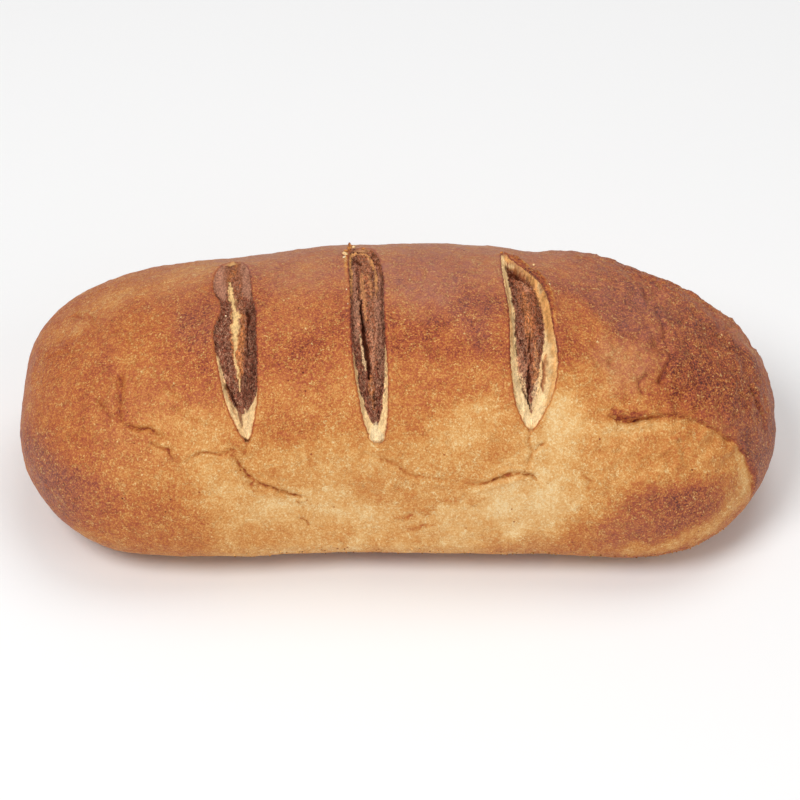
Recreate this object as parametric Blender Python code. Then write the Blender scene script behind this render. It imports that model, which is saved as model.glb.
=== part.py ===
"""A marble rye loaf: one oval hearth bread with three slashes torn open across its crust.

Metres, +Z up. X runs along the loaf, -Y is the side where the slashes end low on the flank,
and the origin is the middle of the flat underside.

The surface is laid out in two distances, both in millimetres:
  run    along the outline seen from above, from the middle of the length (- left, + right)
  girth  round the middle section, from the crest (- front, + back)
"""

import bmesh
import bpy
import numpy as np

MM = 0.001

LENGTH = 285 * MM
WIDTH = 135.4 * MM
HEIGHT = 91 * MM

# The widest line of the flank stands this high at mid-length and at the two tips
BELLY_HEIGHT = 21.2 * MM
TIP_HEIGHTS = (34 * MM, 25.6 * MM)

# Powers of the lengthwise outlines, left end and right end: along the widest line in front and
# at the back, over the crest and under the foot. 2 is an ellipse, more is squarer
FRONT_POWERS = (3.0, 2.3)
BACK_POWERS = (3.2, 2.6)
TOP_POWERS = (2.4, 2.3)
UNDER_POWERS = (2.95, 2.7)

# Powers of the cross-section above and below the widest line
CROWN_POWER = 2.1
FOOT_POWER = 2.5

# The foot's curve would reach this many belly heights down; the floor cuts it off flat
FOOT_REACH = 1.2

# Brings the middle of the finished outline over the origin
SHIFT = (0.0, -1.05 * MM, 0.0)

# Uneven proving: run, girth, radius along, radius round, height, all in millimetres
SWELLS = {
    "left_foot_lobe": (-112, -106, 34, 34, 6.5),
    "right_foot_lobe": (106, -106, 35, 36, 10.6),
    "front_waist": (-4, -110, 64, 34, -5.0),
    "front_waist_left": (-30, -95, 40, 26, -2.6),
    "foot_under_left_slash": (-62, -112, 24, 32, 1.2),
    "left_back_slope": (-62, 52, 34, 26, -2.8),
    "right_hump": (70, 44, 15, 26, 1.8),
    "right_dip": (50, 48, 8, 24, -1.2),
    "crown_left": (-34, 0, 14, 44, 0.8),
    "crown_middle": (17, -4, 18, 44, 0.8),
    "back_lobe_left": (-80, 98, 40, 34, 2.0),
    "back_waist": (4, 104, 46, 34, -3.0),
    "back_lobe_right": (88, 100, 40, 36, 2.6),
}

# Lips of each slash: girth, run of the left lip, run of the right lip, in millimetres,
# from the pointed low end to the far end, where the lips close within CLOSE_IN
SLASHES = {
    "left": (
        (-66.4, -56.0, -56.0),
        (-60, -59.0, -52.3),
        (-51, -62.5, -51.1),
        (-43, -64.9, -51.4),
        (-30.5, -66.9, -51.6),
        (-19, -67.9, -52.0),
        (-11, -67.3, -52.2),
        (-5, -65.6, -52.8),
        (2.5, -68.6, -54.0),
        (11, -68.9, -55.0),
        (20, -68.2, -56.0),
        (28, -67.2, -57.0),
    ),
    "middle": (
        (-67, -7.8, -7.8),
        (-60, -11.1, -4.8),
        (-50, -13.8, -4.3),
        (-39.5, -15.6, -4.3),
        (-28, -16.6, -4.8),
        (-14, -17.6, -5.3),
        (2, -18.6, -5.8),
        (10, -19.0, -7.0),
        (18, -19.3, -8.4),
        (23, -19.0, -9.6),
    ),
    "right": (
        (-62, 47.4, 47.4),
        (-56.5, 44.7, 52.3),
        (-50.5, 43.0, 55.3),
        (-44, 41.7, 56.8),
        (-34, 40.9, 57.3),
        (-24, 40.1, 56.4),
        (-12.5, 39.5, 54.3),
        (-1.5, 39.0, 52.3),
        (9, 38.5, 49.4),
        (17, 38.0, 45.6),
        (22, 37.8, 42.4),
    ),
}
CLOSE_IN = 3.0

# How deep each slash is torn, and the crack down its middle: depth, and place from -1 to 1
FLOOR_DEPTHS = {"left": 3.4, "middle": 4.2, "right": 6.0}
CRACKS = {"left": (1.6, 0.0), "middle": (4.0, -0.1), "right": (2.4, 0.1)}
CRACK_WIDTH = 0.16
WALL_SHARE = 0.3
LIP_RISE = 0.9
LIP_SPREAD = 5.0
END_FADE = 9.0

# The mesh: rows round the girth, and columns along the run that gather at the slashes
FINE_GIRTH = (-72.0, 43.0)
FINE_ROWS = 38
COARSE_ROWS = 34
ACROSS_SLASH = (-1.0, -0.8, -0.42, -0.1, 0.1, 0.42, 0.8, 1.0)
BETWEEN_SLASHES = (0.1, 0.28, 0.5, 0.72, 0.9)
ROUND_END = 13
LEAST_HALF_WIDTH = 0.45
SPLAY = 0.3
MOST_HALF_WIDTH = 6.0

CRUST_COLOUR = (0.52, 0.22, 0.07, 1.0)
CRUST_ROUGHNESS = 0.62


def clear_scene():
    for old in list(bpy.data.objects):
        bpy.data.objects.remove(old, do_unlink=True)


def by_side(u, pair):
    """The left end's value where u is negative, and the right end's elsewhere."""
    return np.where(u < 0, pair[0], pair[1])


def share(u, power):
    """How much of the mid-length size is left at u, which goes from -1 to 1 along the loaf."""
    return np.maximum(1 - np.abs(u) ** power, 0) ** (1 / power)


def plain_point(u, angle):
    """A point of the even loaf. The angle goes from the back (0) over the crest to the front."""
    sine, cosine = np.sin(angle), np.cos(angle)
    above = sine >= 0
    level = np.where(cosine < 0, by_side(u, FRONT_POWERS), by_side(u, BACK_POWERS))
    upright = np.where(above, by_side(u, TOP_POWERS), by_side(u, UNDER_POWERS))
    left = share(u, level * cosine**2 + upright * sine**2)
    belly = BELLY_HEIGHT + (by_side(u, TIP_HEIGHTS) - BELLY_HEIGHT) * np.abs(u) ** 3
    rise = np.where(above, HEIGHT - belly, -FOOT_REACH * belly)
    power = 2 / np.where(above, CROWN_POWER, FOOT_POWER)
    y = WIDTH / 2 * left * np.sign(cosine) * np.abs(cosine) ** power
    z = belly + left * rise * np.abs(sine) ** power
    return np.stack([LENGTH / 2 * u + 0 * y, y, np.maximum(z, 0)], axis=-1) + SHIFT


def distances(points):
    """Running distance along a line of points, in millimetres."""
    steps = np.linalg.norm(np.diff(points, axis=0), axis=1)
    return np.concatenate([[0], np.cumsum(steps)]) / MM


def run_table(count=4001):
    """Runs, and the u at each, along the front outline seen from above."""
    turn = np.linspace(-np.pi / 2, np.pi / 2, count)
    power = 2 / by_side(turn, FRONT_POWERS)
    u = np.sign(turn) * np.abs(np.sin(turn)) ** power
    half_width = WIDTH / 2 * np.abs(np.cos(turn)) ** power
    run = distances(np.stack([LENGTH / 2 * u, half_width], axis=-1))
    return run - np.interp(0, u, run), u


def girth_table(count=2001):
    """Girths, and the angle at each, from under the front over the crest to under the back."""
    angle = np.linspace(3 * np.pi / 2, -np.pi / 2, count)
    girth = distances(plain_point(np.zeros(count), angle))
    return girth - np.interp(-np.pi / 2, -angle, girth), angle


RUNS, U_AT_RUN = run_table()
GIRTHS, ANGLE_AT_GIRTH = girth_table()


def laid_on(run, girth):
    """The even loaf's point at a run and a girth."""
    u = np.interp(run, RUNS, U_AT_RUN)
    return plain_point(u, np.interp(girth, GIRTHS, ANGLE_AT_GIRTH))


def outward(run, girth, reach=0.5):
    """The even loaf's outward direction, from points a little way off on each side."""
    inner_run = np.clip(run, RUNS[0] + reach, RUNS[-1] - reach)
    inner_girth = np.clip(girth, GIRTHS[0] + reach, GIRTHS[-1] - reach)
    along = laid_on(inner_run + reach, inner_girth) - laid_on(inner_run - reach, inner_girth)
    round_it = laid_on(inner_run, inner_girth + reach) - laid_on(inner_run, inner_girth - reach)
    normal = np.cross(along, round_it)
    return normal / np.linalg.norm(normal, axis=-1, keepdims=True)


def smooth_through(x, points):
    """A smooth curve through (x, y) points, with the slope at each taken from its neighbours."""
    xs, ys = np.array(points, float).T
    slopes = np.gradient(ys, xs)
    left = np.clip(np.searchsorted(xs, x) - 1, 0, len(xs) - 2)
    width = xs[left + 1] - xs[left]
    t = np.clip((x - xs[left]) / width, 0, 1)
    start = (1 + 2 * t) * (1 - t) ** 2 * ys[left] + t * (1 - t) ** 2 * width * slopes[left]
    end = t * t * (3 - 2 * t) * ys[left + 1] + t * t * (t - 1) * width * slopes[left + 1]
    return start + end


def lips(name, girth):
    """Middle and half-width of a slash at a girth, and how far past an end the girth is."""
    outline = SLASHES[name]
    low, high = outline[0][0], outline[-1][0]
    left = smooth_through(girth, [(g, a) for g, a, _ in outline])
    right = smooth_through(girth, [(g, b) for g, _, b in outline])
    closing = np.clip((girth - high) / CLOSE_IN, 0, 1)
    half_width = (right - left) / 2 * np.sqrt(1 - closing**2)
    past_end = np.maximum(np.maximum(low - girth, girth - high - CLOSE_IN), 0)
    return (left + right) / 2, np.maximum(half_width, 0), past_end


def columns(girth):
    """The run of every column on the row at this girth: they follow the lips of each slash."""
    edges = []
    for name in SLASHES:
        middle, half_width, past_end = lips(name, girth)
        splay = min(LEAST_HALF_WIDTH + SPLAY * past_end, MOST_HALF_WIDTH)
        half_width = max(float(half_width), splay)
        edges.append((float(middle) - half_width, float(middle) + half_width))
    ease = np.linspace(0, 1, ROUND_END + 1)[1:-1]
    runs = [RUNS[0] + (edges[0][0] - RUNS[0]) * ease]
    for i, (left, right) in enumerate(edges):
        runs.append((left + right) / 2 + np.array(ACROSS_SLASH) * (right - left) / 2)
        if i + 1 < len(edges):
            runs.append(right + np.array(BETWEEN_SLASHES) * (edges[i + 1][0] - right))
    last = edges[-1][1]
    runs.append(last + (RUNS[-1] - last) * ease)
    return np.concatenate(runs)


def rows():
    """The girth of every row, from under the front once round to just before it again."""
    low, high = FINE_GIRTH
    front = low - GIRTHS[0]
    back = GIRTHS[-1] - high
    front_rows = round(COARSE_ROWS * front / (front + back))
    return np.concatenate(
        [
            np.linspace(GIRTHS[0], low, front_rows, endpoint=False),
            np.linspace(low, high, FINE_ROWS, endpoint=False),
            np.linspace(high, GIRTHS[-1], COARSE_ROWS - front_rows, endpoint=False),
        ]
    )


def swell(run, girth):
    """Height of the uneven proving over the even loaf, in millimetres."""
    height = np.zeros_like(run)
    for at_run, at_girth, along, round_it, top in SWELLS.values():
        height += top * np.exp(-(((run - at_run) / along) ** 2) - ((girth - at_girth) / round_it) ** 2)
    return height


def slash_height(run, girth):
    """Height of the lips and, below zero, of the torn floors of the slashes, in millimetres."""
    height = np.zeros_like(run)
    for name, outline in SLASHES.items():
        middle, half_width, past_end = lips(name, girth)
        across = (run - middle) / np.maximum(half_width, LEAST_HALF_WIDTH)
        wall = np.sin(np.clip((1 - np.abs(across)) / WALL_SHARE, 0, 1) * np.pi / 2)
        low, high = outline[0][0], outline[-1][0] + CLOSE_IN
        fade = np.sqrt(np.clip(np.minimum(girth - low, high - girth) / END_FADE, 0, 1))
        crack_depth, crack_place = CRACKS[name]
        crack = crack_depth * np.exp(-(((across - crack_place) / CRACK_WIDTH) ** 2))
        beyond = np.maximum(np.abs(run - middle) - half_width, 0) + past_end
        height += LIP_RISE * np.exp(-((beyond / LIP_SPREAD) ** 2))
        height -= wall * fade * (LIP_RISE + FLOOR_DEPTHS[name] + crack)
    return height


def loaf_point(run, girth):
    """A point of the finished loaf, with everything below the floor brought up flat to it."""
    height = (swell(run, girth) + slash_height(run, girth)) * MM
    point = laid_on(run, girth) + outward(run, girth) * height[..., None]
    point[..., 2] = np.maximum(point[..., 2], 0)
    return point


def tip_point(run):
    """The point at the very end of the loaf, where all rows meet."""
    point = laid_on(np.array(run), np.array(0.0))
    point[0] += np.sign(run) * swell(np.array(run), np.array(0.0)) * MM
    return point


def skin(mesh):
    """Fills the mesh with rings of points from tip to tip, joined by quads and two end fans."""
    girths = rows()
    runs = np.array([columns(girth) for girth in girths])
    points = loaf_point(runs, np.repeat(girths[:, None], runs.shape[1], axis=1))
    around, along = runs.shape
    bm = bmesh.new()
    tips = [bm.verts.new(tip_point(end)) for end in (RUNS[0], RUNS[-1])]
    grid = [[bm.verts.new(points[i, j]) for j in range(along)] for i in range(around)]
    for row, next_row in zip(grid, grid[1:] + grid[:1]):
        bm.faces.new((tips[0], row[0], next_row[0]))
        for j in range(len(row) - 1):
            bm.faces.new((row[j], row[j + 1], next_row[j + 1], next_row[j]))
        bm.faces.new((row[-1], tips[1], next_row[-1]))
    bmesh.ops.triangulate(bm, faces=bm.faces[:], quad_method="SHORT_EDGE")
    bm.to_mesh(mesh)
    bm.free()


def crust_material():
    material = bpy.data.materials.new("crust")
    material.use_nodes = True
    surface = material.node_tree.nodes["Principled BSDF"]
    surface.inputs["Base Color"].default_value = CRUST_COLOUR
    surface.inputs["Roughness"].default_value = CRUST_ROUGHNESS
    surface.inputs["Metallic"].default_value = 0.0
    return material


def make_loaf():
    mesh = bpy.data.meshes.new("loaf")
    skin(mesh)
    mesh.materials.append(crust_material())
    mesh.shade_smooth()
    mesh.set_sharp_from_angle(angle=np.radians(40))
    bpy.context.scene.collection.objects.link(bpy.data.objects.new("loaf", mesh))


clear_scene()
make_loaf()
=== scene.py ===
"""The looks of a marble rye loaf: its crust, the torn dough in its slashes, and loose crumbs.

Metres, +Z up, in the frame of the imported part. The surface is laid out in two distances, both in
millimetres: run, along the loaf (- left, + right), and girth, round it from the crest (- front,
+ back). Places on the crust are given as (girth, run) pairs.
"""

import bpy
import numpy as np
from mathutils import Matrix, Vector


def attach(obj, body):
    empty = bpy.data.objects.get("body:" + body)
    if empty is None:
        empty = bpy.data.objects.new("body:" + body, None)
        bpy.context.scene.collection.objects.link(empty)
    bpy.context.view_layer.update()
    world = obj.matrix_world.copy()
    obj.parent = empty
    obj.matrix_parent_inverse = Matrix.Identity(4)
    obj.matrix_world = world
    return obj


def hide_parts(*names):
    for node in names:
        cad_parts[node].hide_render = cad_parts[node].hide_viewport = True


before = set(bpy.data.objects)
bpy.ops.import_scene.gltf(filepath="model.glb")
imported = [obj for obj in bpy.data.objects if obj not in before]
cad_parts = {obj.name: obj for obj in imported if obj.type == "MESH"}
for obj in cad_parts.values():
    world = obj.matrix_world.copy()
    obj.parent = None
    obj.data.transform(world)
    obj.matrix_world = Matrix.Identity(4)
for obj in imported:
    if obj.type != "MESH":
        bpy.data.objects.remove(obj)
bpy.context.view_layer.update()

MM = 0.001

# The form: the same as in the part, with lips that follow the photo more closely

LENGTH = 285 * MM
WIDTH = 135.4 * MM
HEIGHT = 91 * MM
BELLY_HEIGHT = 21.2 * MM
TIP_HEIGHTS = (34 * MM, 25.6 * MM)
FRONT_POWERS = (3.0, 2.3)
BACK_POWERS = (3.2, 2.6)
TOP_POWERS = (2.4, 2.3)
UNDER_POWERS = (2.95, 2.7)
CROWN_POWER = 2.1
FOOT_POWER = 2.5
FOOT_REACH = 1.2
SHIFT = (0.0, -1.05 * MM, 0.0)

# Uneven proving: run, girth, radius along, radius round, height
SWELLS = {
    "left_foot_lobe": (-112, -106, 34, 34, 6.5),
    "right_foot_lobe": (106, -106, 35, 36, 10.6),
    "front_waist": (-4, -110, 64, 34, -5.0),
    "front_waist_left": (-30, -95, 40, 26, -2.6),
    "foot_under_left_slash": (-62, -112, 24, 32, 1.2),
    "left_back_slope": (-62, 52, 34, 26, -2.8),
    "right_hump": (70, 44, 15, 26, 1.8),
    "right_dip": (50, 48, 8, 24, -1.2),
    "crown_left": (-34, 0, 14, 44, 0.8),
    "crown_middle": (17, -4, 18, 44, 0.8),
    "back_lobe_left": (-80, 98, 40, 34, 2.0),
    "back_waist": (4, 104, 46, 34, -3.0),
    "back_lobe_right": (88, 100, 40, 36, 2.6),
}

# Lips of each slash: girth, run of the left lip, run of the right lip
SLASHES = {
    "left": (
        (-66.6, -55.8, -54.7), (-65, -56.9, -54.2), (-60, -59.5, -53.1), (-55, -61.8, -52.2),
        (-50, -63.5, -51.6), (-43, -65.0, -51.5), (-30, -67.3, -51.9), (-20, -68.0, -52.4),
        (-16, -67.0, -52.5), (-11, -65.8, -53.0), (-6, -66.2, -54.1), (-1, -68.3, -54.6),
        (5, -69.3, -55.3), (12, -69.1, -56.1), (16.5, -68.4, -57.0), (20.5, -67.3, -58.6),
    ),
    "middle": (
        (-66.9, -9.0, -7.8), (-65.6, -10.6, -6.0), (-63, -11.5, -5.3), (-58, -13.2, -4.6),
        (-50, -14.8, -4.3), (-40, -16.5, -4.4), (-28, -17.5, -5.2), (-12, -18.1, -6.0),
        (2, -18.7, -6.2), (12, -19.1, -7.2), (18, -19.0, -8.3), (23, -18.7, -9.7),
    ),
    "right": (
        (-62, 46.8, 47.6), (-60, 45.4, 49.3), (-55, 42.9, 52.2), (-50, 41.4, 54.7), (-44, 40.6, 56.4),
        (-36, 40.0, 57.4), (-28, 39.9, 57.1), (-20, 39.9, 56.0), (-12, 39.6, 55.3), (-4, 38.8, 54.2),
        (3, 38.2, 52.2), (8, 37.8, 49.3), (13, 37.6, 45.6), (18, 37.6, 42.0), (22, 37.7, 40.6),
    ),
}
CLOSE_IN = 3.0
LIP_RISE = 0.9
LIP_SPREAD = 5.0
END_FADE = 9.0
LEAST_HALF_WIDTH = 0.45
SPLAY = 0.3
MOST_HALF_WIDTH = 6.0


def by_side(u, pair):
    """The left end's value where u is negative, and the right end's elsewhere."""
    return np.where(u < 0, pair[0], pair[1])


def share(u, power):
    """How much of the mid-length size is left at u, which goes from -1 to 1 along the loaf."""
    return np.maximum(1 - np.abs(u) ** power, 0) ** (1 / power)


def plain_point(u, angle):
    """A point of the even loaf. The angle goes from the back (0) over the crest to the front."""
    sine, cosine = np.sin(angle), np.cos(angle)
    above = sine >= 0
    level = np.where(cosine < 0, by_side(u, FRONT_POWERS), by_side(u, BACK_POWERS))
    upright = np.where(above, by_side(u, TOP_POWERS), by_side(u, UNDER_POWERS))
    left = share(u, level * cosine**2 + upright * sine**2)
    belly = BELLY_HEIGHT + (by_side(u, TIP_HEIGHTS) - BELLY_HEIGHT) * np.abs(u) ** 3
    rise = np.where(above, HEIGHT - belly, -FOOT_REACH * belly)
    power = 2 / np.where(above, CROWN_POWER, FOOT_POWER)
    y = WIDTH / 2 * left * np.sign(cosine) * np.abs(cosine) ** power
    z = belly + left * rise * np.abs(sine) ** power
    return np.stack([LENGTH / 2 * u + 0 * y, y, np.maximum(z, 0)], axis=-1) + SHIFT


def reach_along(points):
    """Distance along a line of points at each of them."""
    steps = np.linalg.norm(np.diff(points, axis=0), axis=1)
    return np.concatenate([[0], np.cumsum(steps)])


def run_table(count=4001):
    """Runs, and the u at each, along the front outline seen from above."""
    turn = np.linspace(-np.pi / 2, np.pi / 2, count)
    power = 2 / by_side(turn, FRONT_POWERS)
    u = np.sign(turn) * np.abs(np.sin(turn)) ** power
    half_width = WIDTH / 2 * np.abs(np.cos(turn)) ** power
    run = reach_along(np.stack([LENGTH / 2 * u, half_width], axis=-1)) / MM
    return run - np.interp(0, u, run), u


def girth_table(count=2001):
    """Girths, and the angle at each, from under the front over the crest to under the back."""
    angle = np.linspace(3 * np.pi / 2, -np.pi / 2, count)
    girth = reach_along(plain_point(np.zeros(count), angle)) / MM
    return girth - np.interp(-np.pi / 2, -angle, girth), angle


RUNS, U_AT_RUN = run_table()
GIRTHS, ANGLE_AT_GIRTH = girth_table()


def laid_on(run, girth):
    """The even loaf's point at a run and a girth."""
    u = np.interp(run, RUNS, U_AT_RUN)
    return plain_point(u, np.interp(girth, GIRTHS, ANGLE_AT_GIRTH))


def outward(run, girth, reach=0.5):
    """The even loaf's outward direction, from points a little way off on each side."""
    inner_run = np.clip(run, RUNS[0] + reach, RUNS[-1] - reach)
    inner_girth = np.clip(girth, GIRTHS[0] + reach, GIRTHS[-1] - reach)
    along = laid_on(inner_run + reach, inner_girth) - laid_on(inner_run - reach, inner_girth)
    round_it = laid_on(inner_run, inner_girth + reach) - laid_on(inner_run, inner_girth - reach)
    normal = np.cross(along, round_it)
    return normal / np.linalg.norm(normal, axis=-1, keepdims=True)


def smooth_through(x, points):
    """A smooth curve through (x, y) points, with the slope at each taken from its neighbours."""
    xs, ys = np.array(points, float).T
    slopes = np.gradient(ys, xs)
    left = np.clip(np.searchsorted(xs, x) - 1, 0, len(xs) - 2)
    width = xs[left + 1] - xs[left]
    t = np.clip((x - xs[left]) / width, 0, 1)
    start = (1 + 2 * t) * (1 - t) ** 2 * ys[left] + t * (1 - t) ** 2 * width * slopes[left]
    end = t * t * (3 - 2 * t) * ys[left + 1] + t * t * (t - 1) * width * slopes[left + 1]
    return start + end


def ragged(girth, run):
    """Small unevenness of a lip, in millimetres."""
    wide = np.round(np.mean(run))
    slow = 0.2 * np.sin(girth * 1.9 + wide) * np.sin(girth * 0.73 + 2 * wide)
    return slow + 0.1 * np.sin(girth * 4.3 + wide)


def lips(name, girth):
    """Middle and half-width of a slash at a girth, and how far past an end the girth is."""
    outline = SLASHES[name]
    low, high = outline[0][0], outline[-1][0]
    left = smooth_through(girth, [(g, a) for g, a, _ in outline])
    right = smooth_through(girth, [(g, b) for g, _, b in outline])
    left, right = left + ragged(girth, left), right + ragged(girth, right)
    closing = np.clip((girth - high) / CLOSE_IN, 0, 1)
    half_width = (right - left) / 2 * np.sqrt(1 - closing**2)
    past_end = np.maximum(np.maximum(low - girth, girth - high - CLOSE_IN), 0)
    return (left + right) / 2, np.maximum(half_width, 0), past_end


def swell(run, girth):
    """Height of the uneven proving over the even loaf, in millimetres."""
    height = np.zeros_like(run)
    for at_run, at_girth, along, round_it, top in SWELLS.values():
        height += top * np.exp(-(((run - at_run) / along) ** 2) - ((girth - at_girth) / round_it) ** 2)
    return height


def lip_height(run, girth):
    """Height of the raised lips round the slashes, in millimetres."""
    height = np.zeros_like(run)
    for name in SLASHES:
        middle, half_width, past_end = lips(name, girth)
        beyond = np.maximum(np.abs(run - middle) - half_width, 0) + past_end
        height += LIP_RISE * np.exp(-((beyond / LIP_SPREAD) ** 2))
    return height


# Small tools


# Cells along each side of the table of random values behind the noise, and a shift that keeps the
# places in it positive
NOISE_CELLS = 31
NOISE_SHIFT = 1000


def noise(points, wavelength, seed):
    """Smooth noise between -1 and 1 at points in millimetres."""
    table = np.random.default_rng(seed).uniform(-1, 1, (NOISE_CELLS,) * 3)
    place = points / wavelength + NOISE_SHIFT
    cell = np.floor(place).astype(int)
    part = place - cell
    part = part**3 * (part * (part * 6 - 15) + 10)
    total = 0
    for corner in np.ndindex(2, 2, 2):
        weight = np.prod([part[..., k] if corner[k] else 1 - part[..., k] for k in range(3)], axis=0)
        index = (cell + corner) % NOISE_CELLS
        total = total + weight * table[index[..., 0], index[..., 1], index[..., 2]]
    return total


def layered_noise(points, wavelength, seed, octaves=3, keep=0.5):
    """Noise with finer and weaker layers on top."""
    total = 0
    for i in range(octaves):
        total = total + keep**i * noise(points, wavelength / 2**i, seed + i)
    return total


def eased(x):
    """0 below 0, 1 above 1, and a smooth step between them."""
    x = np.clip(x, 0, 1)
    return x * x * (3 - 2 * x)


def tone(red, green, blue):
    """A linear colour from the 0 to 255 values of a picture."""
    value = np.array([red, green, blue]) / 255
    return np.where(value <= 0.04045, value / 12.92, ((value + 0.055) / 1.055) ** 2.4)


def line_distance(girth, run, line):
    """Distance in millimetres to a line of (girth, run) points, positive on its left as it is
    drawn with run to the right and girth up, and how far along the nearest place is, 0 to 1."""
    line = np.array([point[:2] for point in line], float)
    reach = reach_along(line)
    best = np.full(np.shape(run), 1e6)
    place = np.zeros(np.shape(run))
    for (g0, r0), (g1, r1), passed, total in zip(line, line[1:], reach, reach[1:]):
        up, across = g1 - g0, r1 - r0
        length = total - passed
        t = np.clip(((girth - g0) * up + (run - r0) * across) / length**2, 0, 1)
        off_up, off_across = girth - g0 - t * up, run - r0 - t * across
        gap = np.hypot(off_up, off_across)
        side = np.where(across * off_up - up * off_across >= 0, 1.0, -1.0)
        near = gap < np.abs(best)
        best = np.where(near, gap * side, best)
        place = np.where(near, (passed + t * length) / reach[-1], place)
    return best, place


def mesh_object(name, points, faces, material):
    mesh = bpy.data.meshes.new(name)
    mesh.from_pydata(np.asarray(points).tolist(), [], faces)
    mesh.update()
    mesh.shade_smooth()
    mesh.materials.append(material)
    piece = bpy.data.objects.new(name, mesh)
    bpy.context.scene.collection.objects.link(piece)
    return piece


def set_attribute(piece, name, values):
    """Stores one number, or one colour, for each vertex."""
    values = np.asarray(values, np.float32)
    if values.ndim == 1:
        piece.data.attributes.new(name, "FLOAT", "POINT").data.foreach_set("value", values)
    else:
        colours = np.concatenate([values, np.ones((len(values), 1), np.float32)], axis=1)
        layer = piece.data.attributes.new(name, "FLOAT_COLOR", "POINT")
        layer.data.foreach_set("color", colours.ravel())


# Material nodes


class Nodes:
    """Adds nodes to a material. An input is another node's output, or a plain value."""

    def __init__(self, name):
        self.material = bpy.data.materials.new(name)
        self.material.use_nodes = True
        self.tree = self.material.node_tree
        self.surface = self.tree.nodes["Principled BSDF"]

    def put(self, socket, value):
        if isinstance(value, bpy.types.NodeSocket):
            self.tree.links.new(value, socket)
        else:
            socket.default_value = value

    def add(self, kind, inputs=(), **settings):
        node = self.tree.nodes.new("ShaderNode" + kind)
        for key, value in settings.items():
            setattr(node, key, value)
        for key, value in dict(inputs).items():
            self.put(node.inputs[key], value)
        return node

    def attribute(self, name, output="Fac"):
        return self.add("Attribute", attribute_name=name).outputs[output]

    def place(self, stretch=(1, 1, 1)):
        """Object coordinates in millimetres."""
        spot = self.add("TexCoord").outputs["Object"]
        scale = tuple(s / MM for s in stretch)
        product = self.add("VectorMath", {0: spot, 1: scale}, operation="MULTIPLY")
        return product.outputs["Vector"]

    def noise(self, where, size, detail=2.0, roughness=0.5, distortion=0.0):
        inputs = {"Vector": where, "Scale": 1 / size, "Detail": detail}
        inputs.update({"Roughness": roughness, "Distortion": distortion})
        return self.add("TexNoise", inputs).outputs["Fac"]

    def cells(self, where, size):
        return self.add("TexVoronoi", {"Vector": where, "Scale": 1 / size}).outputs["Distance"]

    def sum(self, a, b):
        return self.add("Math", {0: a, 1: b}, operation="ADD").outputs[0]

    def product(self, a, b):
        return self.add("Math", {0: a, 1: b}, operation="MULTIPLY").outputs[0]

    def size_of(self, a):
        return self.add("Math", {0: a}, operation="ABSOLUTE").outputs[0]

    def spread(self, value, low, high, to_low=0.0, to_high=1.0, smooth=False):
        """Moves the range low to high of a value to another range, and stops it at the ends."""
        kind = "SMOOTHSTEP" if smooth else "LINEAR"
        inputs = {0: value, 1: low, 2: high, 3: to_low, 4: to_high}
        return self.add("MapRange", inputs, interpolation_type=kind).outputs[0]

    def mix(self, share_of_b, a, b, blend="MIX"):
        node = self.add("Mix", data_type="RGBA", blend_type=blend)
        for index, value in ((0, share_of_b), (6, a), (7, b)):
            self.put(node.inputs[index], value)
        return node.outputs[2]

    def ramp(self, value, stops):
        node = self.add("ValToRGB", {0: value})
        band = node.color_ramp
        while len(band.elements) < len(stops):
            band.elements.new(0.5)
        for element, (at, colour) in zip(band.elements, stops):
            element.position = at
            element.color = (*tone(*colour), 1)
        return node.outputs[0]

    def finish(self, colour, roughness, height, specular=0.35):
        """The height is in millimetres."""
        bump = self.add("Bump", {"Strength": 1.0, "Distance": MM, "Height": height})
        self.put(self.surface.inputs["Base Color"], colour)
        self.put(self.surface.inputs["Roughness"], roughness)
        self.put(self.surface.inputs["Normal"], bump.outputs[0])
        self.surface.inputs["Specular IOR Level"].default_value = specular
        return self.material


# Browning 0 to 1.25, spread over 0 to 1 of the ramp
RAMP_TOP = 1.25
CRUST_RAMP = (
    (0.00, (238, 206, 152)),
    (0.08, (228, 182, 118)),
    (0.19, (215, 156, 87)),
    (0.28, (204, 137, 69)),
    (0.38, (194, 118, 53)),
    (0.48, (181, 99, 46)),
    (0.58, (170, 84, 43)),
    (0.68, (154, 68, 38)),
    (0.82, (116, 46, 28)),
    (1.00, (76, 32, 22)),
)


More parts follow.
